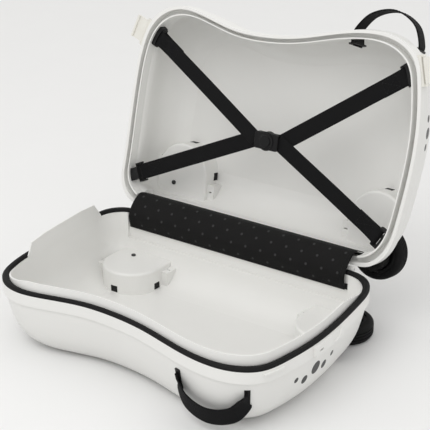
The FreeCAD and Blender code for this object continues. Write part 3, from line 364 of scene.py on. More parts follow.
def mould_grain() -> EffectGroup:
    """Make the mould grain.

    Returns:
        Group with tone, roughness shift and normal.
    """
    graph = EffectGroup("mould_grain", {"Scale": 1400.0, "Depth": 0.0001}, "Tone", "Shift", "Normal")
    place = graph.add("ShaderNodeTexCoord").outputs["Object"]
    clouds, streaks = 9.0, 46.0
    fine_tone, fine_shift = 0.25, 0.4
    fine = graph.noise(place, graph.ins["Scale"], detail=3.0)
    broad = graph.noise(place, clouds)
    flow = graph.noise(place, streaks)
    tone = graph.math("ADD", graph.math("MULTIPLY", fine, fine_tone),
                      graph.math("MULTIPLY", broad, 1.0 - fine_tone), clamp=True)
    shift = graph.math("ADD", graph.math("MULTIPLY", flow, 1.0 - fine_shift),
                       graph.math("MULTIPLY", fine, fine_shift))
    graph.feed(graph.outs, Tone=tone, Shift=graph.math("SUBTRACT", shift, 0.5),
               Normal=graph.bump(fine, graph.ins["Depth"]))
    return graph


def edge_wear() -> EffectGroup:
    """Make the worn edges.

    Returns:
        Group with a mask of convex edges, broken up by noise.
    """
    graph = EffectGroup("edge_wear", {"Amount": 0.3}, "Mask")
    blunt, edge_gain = 0.52, 9.0
    edge = graph.add("ShaderNodeNewGeometry").outputs["Pointiness"]
    sharp = graph.math("MULTIPLY", graph.math("SUBTRACT", edge, blunt), edge_gain, clamp=True)
    place = graph.add("ShaderNodeTexCoord").outputs["Object"]
    scuffs, spared, scuff_gain = 70.0, 0.42, 4.0
    scuff = graph.math("SUBTRACT", graph.noise(place, scuffs, detail=4.0), spared)
    broken = graph.math("MULTIPLY", scuff, scuff_gain, clamp=True)
    mask = graph.math("MULTIPLY", graph.math("MULTIPLY", sharp, broken), graph.ins["Amount"], clamp=True)
    graph.put(mask, graph.outs["Mask"])
    return graph


def settled_dust() -> EffectGroup:
    """Make the settled dust.

    Returns:
        Group with a mask on faces that look up.
    """
    graph = EffectGroup("settled_dust", {"Amount": 0.1}, "Mask")
    facing = graph.split(graph.add("ShaderNodeNewGeometry").outputs["Normal"])
    place = graph.add("ShaderNodeTexCoord").outputs["Object"]
    drifts, specks, gain = 24.0, 620.0, 4.0
    drift = graph.noise(place, drifts, detail=5.0)
    patch = graph.math("MULTIPLY", drift, graph.noise(place, specks))
    upward = graph.math("MAXIMUM", facing["Z"], 0.0)
    mask = graph.math("MULTIPLY", graph.math("MULTIPLY", upward, patch),
                      graph.math("MULTIPLY", graph.ins["Amount"], gain), clamp=True)
    graph.put(mask, graph.outs["Mask"])
    return graph


def thread_weave() -> EffectGroup:
    """Make the weave, from a map in metres along and across the piece.

    Returns:
        Group with tone, normal and a slow unevenness.
    """
    graph = EffectGroup("weave", {"Along": 0.0017, "Across": 0.0014, "Depth": 0.0003},
                        "Tone", "Uneven", "Normal")
    place = graph.add("ShaderNodeUVMap").outputs[0]
    wander, wander_reach, unevenness, pick_share = 260.0, 0.0006, 38.0, 0.55
    waver = graph.math("MULTIPLY", graph.noise(place, wander, detail=1.0), wander_reach)
    split = graph.split(place)
    along = graph.math("DIVIDE", graph.math("ADD", split["X"], waver), graph.ins["Along"])
    across = graph.math("DIVIDE", graph.math("ADD", split["Y"], waver), graph.ins["Across"])
    twill = graph.math("MULTIPLY_ADD", graph.math("FLOOR", across), 0.5, along)
    rib = graph.math("ABSOLUTE", graph.math("SINE", graph.math("MULTIPLY", across, math.pi)))
    swing = graph.math("SINE", graph.math("MULTIPLY", twill, math.tau))
    pick = graph.math("MULTIPLY_ADD", swing, 0.5, 0.5)
    crossing = graph.math("MULTIPLY_ADD", pick, pick_share, 1.0 - pick_share)
    height = graph.math("MULTIPLY", rib, crossing)
    graph.feed(graph.outs, Tone=height, Uneven=graph.noise(place, unevenness, detail=3.0),
               Normal=graph.bump(height, graph.ins["Depth"]))
    return graph


def print_dots() -> EffectGroup:
    """Make the staggered dots of the hinge cover, from a map in metres.

    Returns:
        Group with a mask of dots.
    """
    graph = EffectGroup("print_dots", {"Spacing": 0.027, "Rows": 0.0165, "Radius": 0.0018}, "Mask")
    split = graph.split(graph.add("ShaderNodeUVMap").outputs[0])
    row = graph.math("DIVIDE", split["X"], graph.ins["Rows"])
    odd = graph.math("MULTIPLY", graph.math("MODULO", graph.math("FLOOR", row), 2.0), 0.5)
    column = graph.math("ADD", graph.math("DIVIDE", split["Y"], graph.ins["Spacing"]), odd)
    squares = []
    for line, pitch in ((row, "Rows"), (column, "Spacing")):
        off = graph.math("SUBTRACT", graph.math("FRACT", line), 0.5)
        squares.append(graph.math("POWER", graph.math("MULTIPLY", off, graph.ins[pitch]), 2.0))
    away = graph.math("SQRT", graph.math("ADD", *squares))
    share = graph.math("DIVIDE", away, graph.ins["Radius"])
    rim, rim_gain = 1.25, 4.0
    mask = graph.math("MULTIPLY", graph.math("SUBTRACT", rim, share), rim_gain, clamp=True)
    graph.put(mask, graph.outs["Mask"])
    return graph


def drawn_lines() -> EffectGroup:
    """Make the drawing lines of steel.

    Returns:
        Group with tone and normal.
    """
    graph = EffectGroup("drawn_lines", {"Scale": 2600.0, "Depth": 0.00003}, "Tone", "Normal")
    stretch = graph.add("ShaderNodeMapping")
    place = graph.add("ShaderNodeTexCoord").outputs["Object"]
    graph.feed(stretch.inputs, Vector=place, Scale=(0.03, 1.0, 1.0))
    lines = graph.noise(stretch.outputs[0], graph.ins["Scale"])
    graph.feed(graph.outs, Tone=lines, Normal=graph.bump(lines, graph.ins["Depth"]))
    return graph


class Effects:
    """The shared effects: mould grain, worn edges, dust, weave, printed dots and drawn lines."""

    def __init__(self) -> None:
        self.grain = mould_grain()
        self.wear = edge_wear()
        self.dust = settled_dust()
        self.weave = thread_weave()
        self.dots = print_dots()
        self.lines = drawn_lines()


def start_material(name: str) -> tuple[bpy.types.Material, Graph, bpy.types.Node]:
    """Start a material with one Principled shader.

    Args:
        name: Name of the material.

    Returns:
        The material, its graph and the shader node.
    """
    material = bpy.data.materials.new(name)
    material.use_nodes = True
    return material, Graph(material.node_tree), material.node_tree.nodes["Principled BSDF"]


@dataclass(frozen=True)
class Spot:
    """One plain printed spot on an end wall, in the row frame at rest.

    Args:
        y: Place across the case in metres.
        z: Place above the floor in metres.
        radius: Its radius in metres.
    """

    y: float
    z: float
    radius: float


class Finishes:
    """Makes one material for each slot of the record.

    Args:
        effects: The shared node groups.
    """

    def __init__(self, effects: Effects) -> None:
        self.effects = effects
        self.made: dict[str, bpy.types.Material] = {}

    def moulded(self, name: str, finish: MouldedFinish, spots: Sequence[Spot] = ()) -> bpy.types.Material:
        """Make a moulded plastic or rubber.

        Args:
            name: Name of the material.
            finish: Its colours and grain.
            spots: Plain spots printed on its front end.

        Returns:
            The material.
        """
        material, graph, shader = start_material(name)
        grain = self.effects.grain.place(graph, Scale=finish.grain, Depth=finish.depth)
        wear = self.effects.wear.place(graph, Amount=finish.wear)
        dust = self.effects.dust.place(graph, Amount=finish.dusting)
        colour = graph.mix(grain["Tone"], finish.dark, finish.light)
        colour = graph.mix(wear["Mask"], colour, finish.worn)
        colour = graph.mix(dust["Mask"], colour, finish.dust)
        if spots:
            colour = graph.mix(self._spot_mask(graph, spots), colour, MOULDED[Slot.BLACK].dark)
        dust_roughness = 0.3
        rough = graph.math("MULTIPLY_ADD", grain["Shift"], finish.spread, finish.roughness)
        rough = graph.math("MULTIPLY_ADD", dust["Mask"], dust_roughness, rough, clamp=True)
        graph.feed(shader.inputs, Base_Color=colour, Roughness=rough, Normal=grain["Normal"],
                   Specular_IOR_Level=finish.specular)
        return material

    @staticmethod
    def _spot_mask(graph: Graph, spots: Sequence[Spot]) -> Socket:
        """Work out where the printed spots lie.

        Args:
            graph: The material's graph.
            spots: The spots.

        Returns:
            Mask that is 1 on a spot of the front end.
        """
        place = graph.split(graph.add("ShaderNodeTexCoord").outputs["Object"])
        normal = graph.split(graph.add("ShaderNodeNewGeometry").outputs["Normal"])
        crispness, front_end, lean = 12.0, 0.235, 0.3
        total: object = 0.0
        for spot in spots:
            squares = []
            for axis, middle in (("Y", spot.y), ("Z", spot.z)):
                off = graph.math("DIVIDE", graph.math("SUBTRACT", place[axis], middle), spot.radius)
                squares.append(graph.math("POWER", off, 2.0))
            away = graph.math("ADD", *squares)
            inside = graph.math("MULTIPLY", graph.math("SUBTRACT", 1.0, away), crispness, clamp=True)
            total = graph.math("MAXIMUM", total, inside)
        front = graph.math("GREATER_THAN", place["X"], front_end)
        facing = graph.math("GREATER_THAN", normal["X"], lean)
        return graph.math("MULTIPLY", total, graph.math("MULTIPLY", front, facing), clamp=True)

    def woven(self, name: str, finish: WovenFinish, dot: Colour | None = None) -> bpy.types.Material:
        """Make a cloth or webbing.

        Args:
            name: Name of the material.
            finish: Its threads.
            dot: Colour of the printed dots, if it has any.

        Returns:
            The material.
        """
        material, graph, shader = start_material(name)
        weave = self.effects.weave.place(graph, Along=finish.pitch_along, Across=finish.pitch_across,
                                         Depth=finish.depth)
        dust = self.effects.dust.place(graph, Amount=0.05)
        swing, least, print_through, spread = 0.8, 0.55, 0.35, 0.14
        worn = graph.math("MULTIPLY_ADD", weave["Uneven"], swing, least)
        tone = graph.math("MULTIPLY", weave["Tone"], worn, clamp=True)
        colour = graph.mix(tone, finish.warp, finish.weft)
        if dot is not None:
            dots = self.effects.dots.place(graph)
            inked = graph.math("ADD", weave["Tone"], print_through)
            colour = graph.mix(graph.math("MULTIPLY", dots["Mask"], inked, clamp=True), colour, dot)
        colour = graph.mix(dust["Mask"], colour, CLOTH_DUST)
        rough = graph.math("MULTIPLY_ADD", weave["Uneven"], spread, finish.roughness - spread / 2, clamp=True)
        graph.feed(shader.inputs, Base_Color=colour, Roughness=rough, Normal=weave["Normal"],
                   Sheen_Weight=finish.sheen, Sheen_Roughness=0.45, Specular_IOR_Level=0.1)
        return material

    def metal(self, name: str, finish: MetalFinish) -> bpy.types.Material:
        """Make a drawn metal.

        Args:
            name: Name of the material.
            finish: Its colour and lines.

        Returns:
            The material.
        """
        material, graph, shader = start_material(name)
        lines = self.effects.lines.place(graph, Scale=finish.lines, Depth=finish.depth)
        shade, spread = 0.8, 0.12
        dark = tuple(shade * channel for channel in finish.colour)
        rough = graph.math("MULTIPLY_ADD", lines["Tone"], spread, finish.roughness - spread / 2)
        graph.feed(shader.inputs, Base_Color=graph.mix(lines["Tone"], dark, finish.colour), Roughness=rough,
                   Normal=lines["Normal"], Metallic=1.0)
        return material

    def build(self) -> None:
        """Make every material that the case uses."""
        for slot, finish in MOULDED.items():
            self.made[slot.value] = self.moulded(slot.value, finish)
        self.made[Slot.WEBBING.value] = self.woven(Slot.WEBBING.value, WEBBING)
        self.made[Slot.CLOTH.value] = self.woven(Slot.CLOTH.value, CLOTH, COVER_DOT)
        self.made["thread"] = self.woven("thread", THREAD)
        self.made[Slot.STEEL.value] = self.metal(Slot.STEEL.value, STEEL)


# Places in the two halves

@dataclass(frozen=True)
class Flat:
    """A half's flat frame: along the hinge, out from it and down from the parting plane, in metres.

    Args:
        half: Which half.
        hinge_y: Place of the hinge axis across the case.
        hinge_z: Height of the hinge axis.
        open_angle: How far the lid stands open.
    """

    half: Half
    hinge_y: float = 0.176
    hinge_z: float = 0.102
    open_angle: float = math.radians(100.0)

    def turn(self, direction: Vector) -> Vector:
        """Turn a direction into the row frame.

        Args:
            direction: Along, out and down.

        Returns:
            The direction in the row frame.
        """
        if self.half is Half.BASE:
            return Vector((direction.x, -direction.y, -direction.z))
        cos, sin = math.cos(self.open_angle), math.sin(self.open_angle)
        return Vector((direction.x, direction.z * sin - direction.y * cos,
                       direction.z * cos + direction.y * sin))

    def place(self, point: Vector) -> Vector:
        """Move a point into the row frame.

        Args:
            point: Along, out and down.

        Returns:
            The point in the row frame.
        """
        return self.turn(point) + Vector((0.0, self.hinge_y, self.hinge_z))


# Webbing, cloth and the spring

def shown(mesh: bpy.types.Mesh) -> bpy.types.Object:
    """Put a mesh in the scene as an object of its own name.

    Args:
        mesh: The mesh.

    Returns:
        The new object.
    """
    piece = bpy.data.objects.new(mesh.name, mesh)
    bpy.context.scene.collection.objects.link(piece)
    return piece


def tube_faces(start: int, rings: int, size: int) -> list[list[int]]:
    """Give the faces of a closed tube: quads ring by ring, then its two caps.

    Args:
        start: Number of its first point.
        rings: Rings of points along it.
        size: Points in a ring.

    Returns:
        The points of each face.
    """
    far = start + size * (rings - 1)
    quads = [[low + turn, low + (turn + 1) % size, low + size + (turn + 1) % size, low + size + turn]
             for low in range(start, far, size) for turn in range(size)]
    return [*quads, list(range(start, start + size))[::-1], list(range(far, far + size))]


def tube_mesh(name: str, points: list[Vector], faces: list[list[int]],
              *materials: bpy.types.Material) -> bpy.types.Mesh:
    """Make a mesh of tubes, smooth but for their caps.

    Args:
        name: Name of the mesh.
        points: Its points.
        faces: Its faces.
        *materials: Its materials.

    Returns:
        The new mesh.
    """
    mesh = bpy.data.meshes.new(name)
    mesh.from_pydata(points, [], faces)
    for material in materials:
        mesh.materials.append(material)
    for face in mesh.polygons:
        face.use_smooth = len(face.vertices) == 4
    return mesh


def smooth_line(points: Sequence[Vector], steps: int) -> list[Vector]:
    """Run a smooth line through points.

    Args:
        points: Points to pass through.
        steps: Steps between each two points.

    Returns:
        Points along the line.
    """
    ends = [2 * points[0] - points[1], *points, 2 * points[-1] - points[-2]]
    line: list[Vector] = []
    for before, here, following, after in zip(ends, ends[1:], ends[2:], ends[3:]):
        first = math.sqrt((here - before).length)
        second = first + math.sqrt((following - here).length)
        third = second + math.sqrt((after - following).length)
        for step in range(steps):
            share = step / steps
            knot = first + (second - first) * share
            middle = here.lerp(following, share)
            low = before.lerp(here, knot / first).lerp(middle, knot / second)
            far = following.lerp(after, (knot - second) / (third - second))
            line.append(low.lerp(middle.lerp(far, (knot - first) / (third - first)), share))
    return [*line, points[-1].copy()]


def distances(line: Sequence[Vector]) -> list[float]:
    """Measure along a line.

    Args:
        line: The line.

    Returns:
        Distance of each point from the first.
    """
    found = [0.0]
    for here, following in zip(line, line[1:]):
        found.append(found[-1] + (following - here).length)
    return found


def locate(along: Sequence[float], goal: float) -> tuple[int, float]:
    """Find a distance among the distances of a line's points.

    Args:
        along: Distances of the points.
        goal: The distance to find.

    Returns:
        The point before it, and its share of the way to the next, from 0 to 1.
    """
    index, least = 0, 1e-9
    while index < len(along) - 2 and along[index + 1] < goal:
        index += 1
    share = (goal - along[index]) / max(along[index + 1] - along[index], least)
    return index, min(max(share, 0.0), 1.0)


def spaced(line: Sequence[Vector], step: float) -> list[Vector]:
    """Space points evenly along a line.

    Args:
        line: The line.
        step: About how far apart the points are.

    Returns:
        Evenly spaced points, with both ends.
    """
    along = distances(line)
    count = max(2, round(along[-1] / step))
    places = [locate(along, along[-1] * number / count) for number in range(count + 1)]
    return [line[index].lerp(line[index + 1], share) for index, share in places]


@dataclass
class Band:
    """A woven band along a line, with rounded selvedges, a map in metres and rows of stitches.

    Args:
        name: Name of the piece.
        line: Middle line in the row frame.
        wide: Direction across the band at each point of the line.
        width: Width in metres.
        thick: Thickness in metres.
        columns: Columns across each face.
        lift: Height of the surface above its line, from metres along and across.
    """

    name: str
    line: list[Vector]
    wide: list[Vector]
    width: float
    thick: float
    columns: int = 10
    lift: Callable[[float, float], float] = field(default=lambda along, across: 0.0)

    def __post_init__(self) -> None:
        self.along = distances(self.line)
        self.up: list[Vector] = []
        last = len(self.line) - 1
        for index, wide in enumerate(self.wide):
            run = self.line[min(index + 1, last)] - self.line[max(index - 1, 0)]
            self.up.append(run.cross(wide).normalized())

    def at(self, along: float, across: float, height: float) -> Vector:
        """Find a place on the band.

        Args:
            along: Metres from its start.
            across: Metres from its middle line.
            height: Metres above its middle.

        Returns:
            The place in the row frame.
        """
        index, share = locate(self.along, along)
        centre = self.line[index].lerp(self.line[index + 1], share)
        wide = self.wide[index].lerp(self.wide[index + 1], share)
        up = self.up[index].lerp(self.up[index + 1], share)
        return centre + wide * across + up * (height + self.lift(along, across))

    def _section(self) -> list[Pair]:
        """Give the outline across the band.

        Returns:
            Places across and above the middle, once round.
        """
        half, rise = self.width / 2, self.thick / 2
        rounding, blunt = 0.5, 0.35
        shoulder, edge = half - rise * rounding, rise * blunt
        flat = [-1.0 + 2.0 * step / self.columns for step in range(self.columns + 1)]
        top = [(shoulder * share, rise) for share in flat]
        under = [(shoulder * share, -rise) for share in reversed(flat)]
        return [*top, (half, edge), (half, -edge), *under, (-half, -edge), (-half, edge)]

    def build(self, finishes: Finishes, slot: Slot, seams: Sequence["Seam"], node: str) -> bpy.types.Object:
        """Make the band's mesh, with its stitches in the same piece.

        Args:
            finishes: The materials.
            slot: The slot of its weave.
            seams: Rows of stitches on it.
            node: The CAD node that it replaces.

        Returns:
            The new object.
        """
        section = self._section()
        size = len(section)
        points = [self.at(along, across, height) for along in self.along for across, height in section]
        faces = tube_faces(0, len(self.along), size)
        *quads, first_cap, last_cap = faces
        spots = [[(self.along[index // size], section[index % size][0]) for index in quad] for quad in quads]
        spots += [[section[index % size] for index in cap] for cap in (first_cap, last_cap)]
        woven = len(faces)
        for seam in seams:
            seam.sew(self, points, faces, spots)
        mesh = tube_mesh(self.name, points, faces, finishes.made[slot.value], finishes.made["thread"])
        layer = mesh.uv_layers.new(name="metres")
        layer.data.foreach_set("uv", [value for face in spots for spot in face for value in spot])
        for index, face in enumerate(mesh.polygons):
            face.material_index = 0 if index < woven else 1
        mesh.validate()
        shell = bmesh.new()
        shell.from_mesh(mesh)
        bmesh.ops.recalc_face_normals(shell, faces=shell.faces)
        shell.to_mesh(mesh)
        shell.free()
        piece = shown(mesh)
        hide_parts(node)
        return piece


@dataclass(frozen=True)
class Seam:
    """A row of stitches on a band.

    Args:
        start: Metres along and across where it starts.
        end: Metres along and across where it ends.
        stitch: Length of one stitch.
        gap: Gap between stitches.
        radius: Radius of the thread.
        side: 1 for the upper face and -1 for the lower one.
        sides: Sides of the thread.
        rings: Sections of a stitch: share of its half length, swell and rise.
    """

    start: Pair
    end: Pair
    stitch: float = 0.0030
    gap: float = 0.0011
    radius: float = 0.00042
    side: int = 1
    sides: int = 6
    rings: tuple[Triple, ...] = (
        (-1.0, 0.45, -0.5), (-0.62, 0.9, 0.35), (0.0, 1.0, 0.6), (0.62, 0.9, 0.35), (1.0, 0.45, -0.5))

    def sew(self, band: Band, points: list[Vector], faces: list[list[int]], spots: list[list[Pair]]) -> None:
        """Add the stitches to a band's mesh: short round threads that dip into it at both ends.

        Args:
            band: The band.
            points: Points of the mesh.
            faces: Faces of the mesh.
            spots: Map places of the faces.
        """
        first, last = Vector((*self.start, 0.0)), Vector((*self.end, 0.0))
        length, run = (last - first).length, (last - first).normalized()
        across = Vector((-run.y, run.x, 0.0))
        angles = [math.tau * side / self.sides for side in range(self.sides)]
        count = max(1, int(length / (self.stitch + self.gap)))
        for number in range(count):
            middle = first + (last - first) * ((number + 0.5) / count)
            thread = tube_faces(len(points), len(self.rings), self.sides)
            for share, swell, rise in self.rings:
                centre = middle + run * (share * self.stitch / 2)
                for angle in angles:
                    place = centre + across * (math.cos(angle) * self.radius * swell)
                    height = self.side * (band.thick / 2 + self.radius * (rise + math.sin(angle) * swell))
                    points.append(band.at(place.x, place.y, height))
            faces.extend(thread)
            spots.extend([(middle.x, middle.y)] * len(face) for face in thread)


def box_stitch(start: float, end: float, half: float, side: int = 1) -> list[Seam]:
    """Give the seams of a sewn box with a cross in it.

    Args:
        start: Metres along where the box starts.
        end: Metres along where it ends.
        half: Half its width.
        side: Face that it shows on.

    Returns:
        The seams.
    """
    corners = [(start, -half), (start, half), (end, half), (end, -half)]
    seams = [Seam(a, b, side=side) for a, b in zip(corners, corners[1:] + corners[:1])]
    return [*seams, Seam(corners[0], corners[2], side=side), Seam(corners[1], corners[3], side=side)]


def edge_seams(start: float, end: float, half: float, **thread: float) -> list[Seam]:
    """Give a row of stitches along each edge of a band.

    Args:
        start: Metres along where the rows start.
        end: Metres along where they end.
        half: Half the distance between them.
        **thread: Stitch, gap, radius and side of the seams.

    Returns:
        The two seams.
    """
    return [Seam((start, hand * half), (end, hand * half), **thread) for hand in (-1, 1)]


@dataclass
class CrossStraps:
    """The four webbing straps in the lid.

    Args:
        anchors: Middle of each anchor's bar in the lid's flat frame, by corner.
        buckle: Middle of the buckle in the lid's flat frame.
        join: Distance from the buckle's middle to where the straps of a pair meet.
        tuck: How far a strap runs on from there into the buckle.
        width: Width of the webbing.
        thick: Thickness of the webbing.
        bar: Radius of the webbing's middle line round a bar.
        fold: Length of the sewn-back end.
        box: Start and end of the sewn box, from the bar.
        box_edge: Distance from the sewn box to the webbing's edge.
        selvedge: Distance from a row of stitches to the webbing's edge.
        plain: Length without stitches at each end.
        sag: How far the middle of a strap sags.
    """

    anchors: dict[str, Triple] = field(default_factory=lambda: {
        "rear_upper": (-0.21031, 0.27925, 0.0120), "rear_lower": (-0.22352, 0.05897, 0.0140),
        "front_upper": (0.22352, 0.29054, 0.0140), "front_lower": (0.21336, 0.05449, 0.0120)})
    buckle: Pair = (0.00787, 0.15525)
    join: float = 0.0225
    tuck: float = 0.0045
    width: float = 0.025
    thick: float = 0.0015
    bar: float = 0.0030
    fold: float = 0.046
    box: Pair = (0.014, 0.040)
    box_edge: float = 0.004
    selvedge: float = 0.0022
    plain: float = 0.012
    sag: float = 0.0006

    def build(self, finishes: Finishes) -> None:
        """Make the straps.

        Args:
            finishes: The materials.
        """
        flat = Flat(Half.LID)
        for corner, (along, out, down) in self.anchors.items():
            start = Vector((along, out, down))
            meet = self.buckle[0] + math.copysign(self.join, along)
            run = Vector((meet - along, self.buckle[1] - out, 0.0))
            length = run.length + self.tuck
            run.normalize()
            line = self._line(length)
            points = [flat.place(start + run * place.x + Vector((0.0, 0.0, place.y))) for place in line]
            across = flat.turn(Vector((-run.y, run.x, 0.0)))
            band = Band("webbing_" + corner, points, [across] * len(points), self.width, self.thick)
            turn = self.fold + math.pi * self.bar
            seams = box_stitch(turn + self.box[0], turn + self.box[1], self.width / 2 - self.box_edge)
            seams += edge_seams(
                turn + self.plain, band.along[-1] - self.plain, self.width / 2 - self.selvedge,
                stitch=0.0024, gap=0.0022, radius=0.0002)
            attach(band.build(finishes, Slot.WEBBING, seams, "strap_" + corner), Half.LID.value)

    def _line(self, length: float) -> list[Vector]:
        """Give a strap's line in its own plane: back end, round the bar, and on to the buckle.

        Args:
            length: Distance from the bar to the strap's end.

        Returns:
            Distance from the bar and depth, as points.
        """
        air, arcs = 0.0001, 8
        near, middle = self.fold * 0.3, self.fold * 0.6
        close = self.thick / 2 + air
        under = [(self.fold, close + self.thick), (middle, close + self.thick),
                 (near, close + self.thick * 1.1)]
        angles = [math.pi / 2 + math.pi * arc / arcs for arc in range(arcs + 1)]
        loop = [(self.bar * math.cos(angle), self.bar * math.sin(angle)) for angle in angles]
        over = [(near, -close * 1.2), (middle, 0.0), (self.fold, 0.0)]
        run = [(length * share, self.sag * math.sin(math.pi * share)) for share in (0.45, 0.7, 1.0)]
        places = [Vector((*place, 0.0)) for place in (*under, *loop, *over, *run)]
        return spaced(smooth_line(places, steps=6), step=0.0035)


@dataclass(frozen=True)
class ReturnSpring:
    """The coil spring under the buckle's button.

    Args:
        centre: Its axis in the lid's flat frame.
        top: Depth of its end under the button.
        bottom: Depth of its end on the floor of the well.
        radius: Radius of the coil's middle line.
        wire: Radius of the wire.
        turns: Open turns of the coil.
        flat: Closed turn at each end.
        sides: Sides of the wire.
        steps: Steps in one turn.
    """

    centre: Pair = (0.00787, 0.15525)
    top: float = 0.0101
    bottom: float = 0.0161
    radius: float = 0.0054
    wire: float = 0.00045
    turns: float = 2.0
    flat: float = 0.6
    sides: int = 8
    steps: int = 32

    def build(self, finishes: Finishes) -> None:
        """Make the spring.

        Args:
            finishes: The materials.
        """
        flat, down = Flat(Half.LID), Vector((0.0, 0.0, 1.0))
        count = round((self.turns + 2 * self.flat) * self.steps)
        angles = [math.tau * side / self.sides for side in range(self.sides)]
        points = []
        for step in range(count + 1):
            turn = step / self.steps
            share = min(max((turn - self.flat) / self.turns, 0.0), 1.0)
            depth = self.bottom - self.wire - share * (self.bottom - self.top - 2 * self.wire)
            outward = Vector((math.cos(math.tau * turn), math.sin(math.tau * turn), 0.0))
            middle = Vector((*self.centre, depth)) + outward * self.radius
            points += [flat.place(middle + (outward * math.cos(angle) + down * math.sin(angle)) * self.wire)
                       for angle in angles]
        faces = tube_faces(0, count + 1, self.sides)
        piece = shown(tube_mesh("button_coil", points, faces, finishes.made[Slot.STEEL.value]))
        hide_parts("button_spring")
        flat.place(Vector((*self.centre, self.bottom)))
        flat.place(Vector((*self.centre, self.top)))
        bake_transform(piece)


@dataclass
class CarryHandle:
    """One webbing carry handle.

    Args:
        half: The half that it is on.
        standout: How far its arch stands out from the line between its ends.
        drop: How far its arch hangs towards the belly.
        ends: Where it leaves the wall in the flat frame.
        outs: Direction out of the wall at each end.
        downs: Direction down the wall at each end.
        arch: Places along the line between the ends, each with its share of the full arch.
        reaches: Distances from the wall that it passes straight through.
        width: Width of the webbing.
        thick: Thickness of the webbing.
        selvedge: Distance from a row of stitches to the webbing's edge.
        plain: Length without stitches at each end.
    """

    half: Half
    standout: float
    drop: float
    ends: tuple[Triple, ...] = ((0.12016, 0.33247, 0.047), (0.22141, 0.32430, 0.047))
    outs: tuple[Triple, ...] = ((-0.2082, 0.9557, 0.2079), (0.5842, 0.7845, 0.2079))
    downs: tuple[Triple, ...] = ((0.0442, -0.2031, 0.9781), (-0.1242, -0.1668, 0.9781))
    arch: tuple[Pair, ...] = ((0.15, 0.70), (0.50, 1.0), (0.85, 0.70))
    reaches: tuple[float, ...] = (-0.0184, -0.0092, 0.0, 0.0016, 0.0032)
    width: float = 0.0255
    thick: float = 0.0019
    selvedge: float = 0.0024
    plain: float = 0.024

    def build(self, finishes: Finishes) -> None:
        """Make the handle.

        Args:
            finishes: The materials.
        """
        flat = Flat(self.half)
        first, last = (Vector(end) for end in self.ends)
        first_out, last_out = (Vector(out) for out in self.outs)
        outward = first_out + last_out
        swing = Vector((outward.x, outward.y, 0.0)).normalized() * self.standout
        swing.z = self.drop
        points = [first + first_out * reach for reach in self.reaches]
        points += [first.lerp(last, place) + swing * full for place, full in self.arch]
        points += [last + last_out * reach for reach in reversed(self.reaches)]
        line = spaced(smooth_line(points, steps=24), step=0.003)
        wide = []
        for number, _ in enumerate(line):
            down = Vector(self.downs[0]).lerp(Vector(self.downs[1]), number / (len(line) - 1))
            run = line[min(number + 1, len(line) - 1)] - line[max(number - 1, 0)]
            run.normalize()
            wide.append(flat.turn((down - run * down.dot(run)).normalized()))
        band = Band("carry_handle_" + self.half.value, [flat.place(point) for point in line], wide,
                    self.width, self.thick)
        seams = [seam for side in (-1, 1) for seam in edge_seams(
            self.plain, band.along[-1] - self.plain, self.width / 2 - self.selvedge,
            stitch=0.0026, gap=0.0018, radius=0.00026, side=side)]
        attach(band.build(finishes, Slot.WEBBING, seams, "handle_" + self.half.value), self.half.value)


@dataclass
class HingeCover:
    """The dotted cloth over the hinge.

    Args:
        left: Rear end along the hinge.
        right: Front end along the hinge.
        section: Line from the base's wall over the hinge to the lid, across and above the hinge axis.
        thick: Thickness of the cloth.
        hem: Width of the hems.
        hem_rise: Height of the hems.
        hem_slope: Width over which a hem rises.
        seam: Distance from a hem's stitches to its inner edge.
        wave_rise: Height of the soft waves.
        waves: The waves per metre across and along, with their place in the noise and their share.
        columns: Columns of faces along the hinge.
    """

    left: float = -0.219
    right: float = 0.184
    section: tuple[Pair, ...] = (
        (-0.0182, -0.0260), (-0.0198, -0.0015), (0.0070, 0.0231), (0.0386, 0.0117))
    thick: float = 0.0011
    hem: float = 0.009
    hem_rise: float = 0.0003
    hem_slope: float = 0.0012
    seam: float = 0.0018
    wave_rise: float = 0.0007
    waves: tuple[tuple[float, float, float, float], ...] = ((21.0, 30.0, 4.7, 1.0), (55.0, 70.0, 1.3, 0.5))
    columns: int = 110

    def _surface(self, reach: float, along: float, across: float) -> float:
        """Give the height of the cloth: hems and soft waves.

        Args:
            reach: Length of the section's line.
            along: Metres along that line.
            across: Metres from the middle of the cover.

        Returns:
            Height above the line.
        """
        edge = min(along, reach - along, (self.right - self.left) / 2 - abs(across))
        hem = self.hem_rise * min(1.0, max(0.0, (self.hem - edge) / self.hem_slope + 0.5))
        free = math.sin(math.pi * min(max(along / reach, 0.0), 1.0))
        wave = sum(part * noise.noise(Vector((across * wide, along * long, level)))
                   for wide, long, level, part in self.waves)
        return hem + self.wave_rise * free * wave

    def build(self, finishes: Finishes) -> None:
        """Make the cover.

        Args:
            finishes: The materials.
        """
        middle = (self.left + self.right) / 2
        flat = Flat(Half.BASE)
        points = [Vector((middle, flat.hinge_y + across, flat.hinge_z + above))
                  for across, above in self.section]
        line = spaced(smooth_line(points, steps=20), step=0.003)
        reach = distances(line)[-1]
        width = self.right - self.left
        band = Band("hinge_cover_cloth", line, [Vector((-1.0, 0.0, 0.0))] * len(line), width, self.thick,
                    columns=self.columns, lift=partial(self._surface, reach))
        inset = self.hem - self.seam
        half = width / 2 - inset
        sewing = {"stitch": 0.0032, "gap": 0.0012, "radius": 0.0003}
        seams = [Seam((place, -half), (place, half), **sewing) for place in (inset, reach - inset)]
        seams += edge_seams(inset, reach - inset, half, **sewing)
        piece = band.build(finishes, Slot.CLOTH, seams, "hinge_cover")
        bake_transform(piece)


# Stage

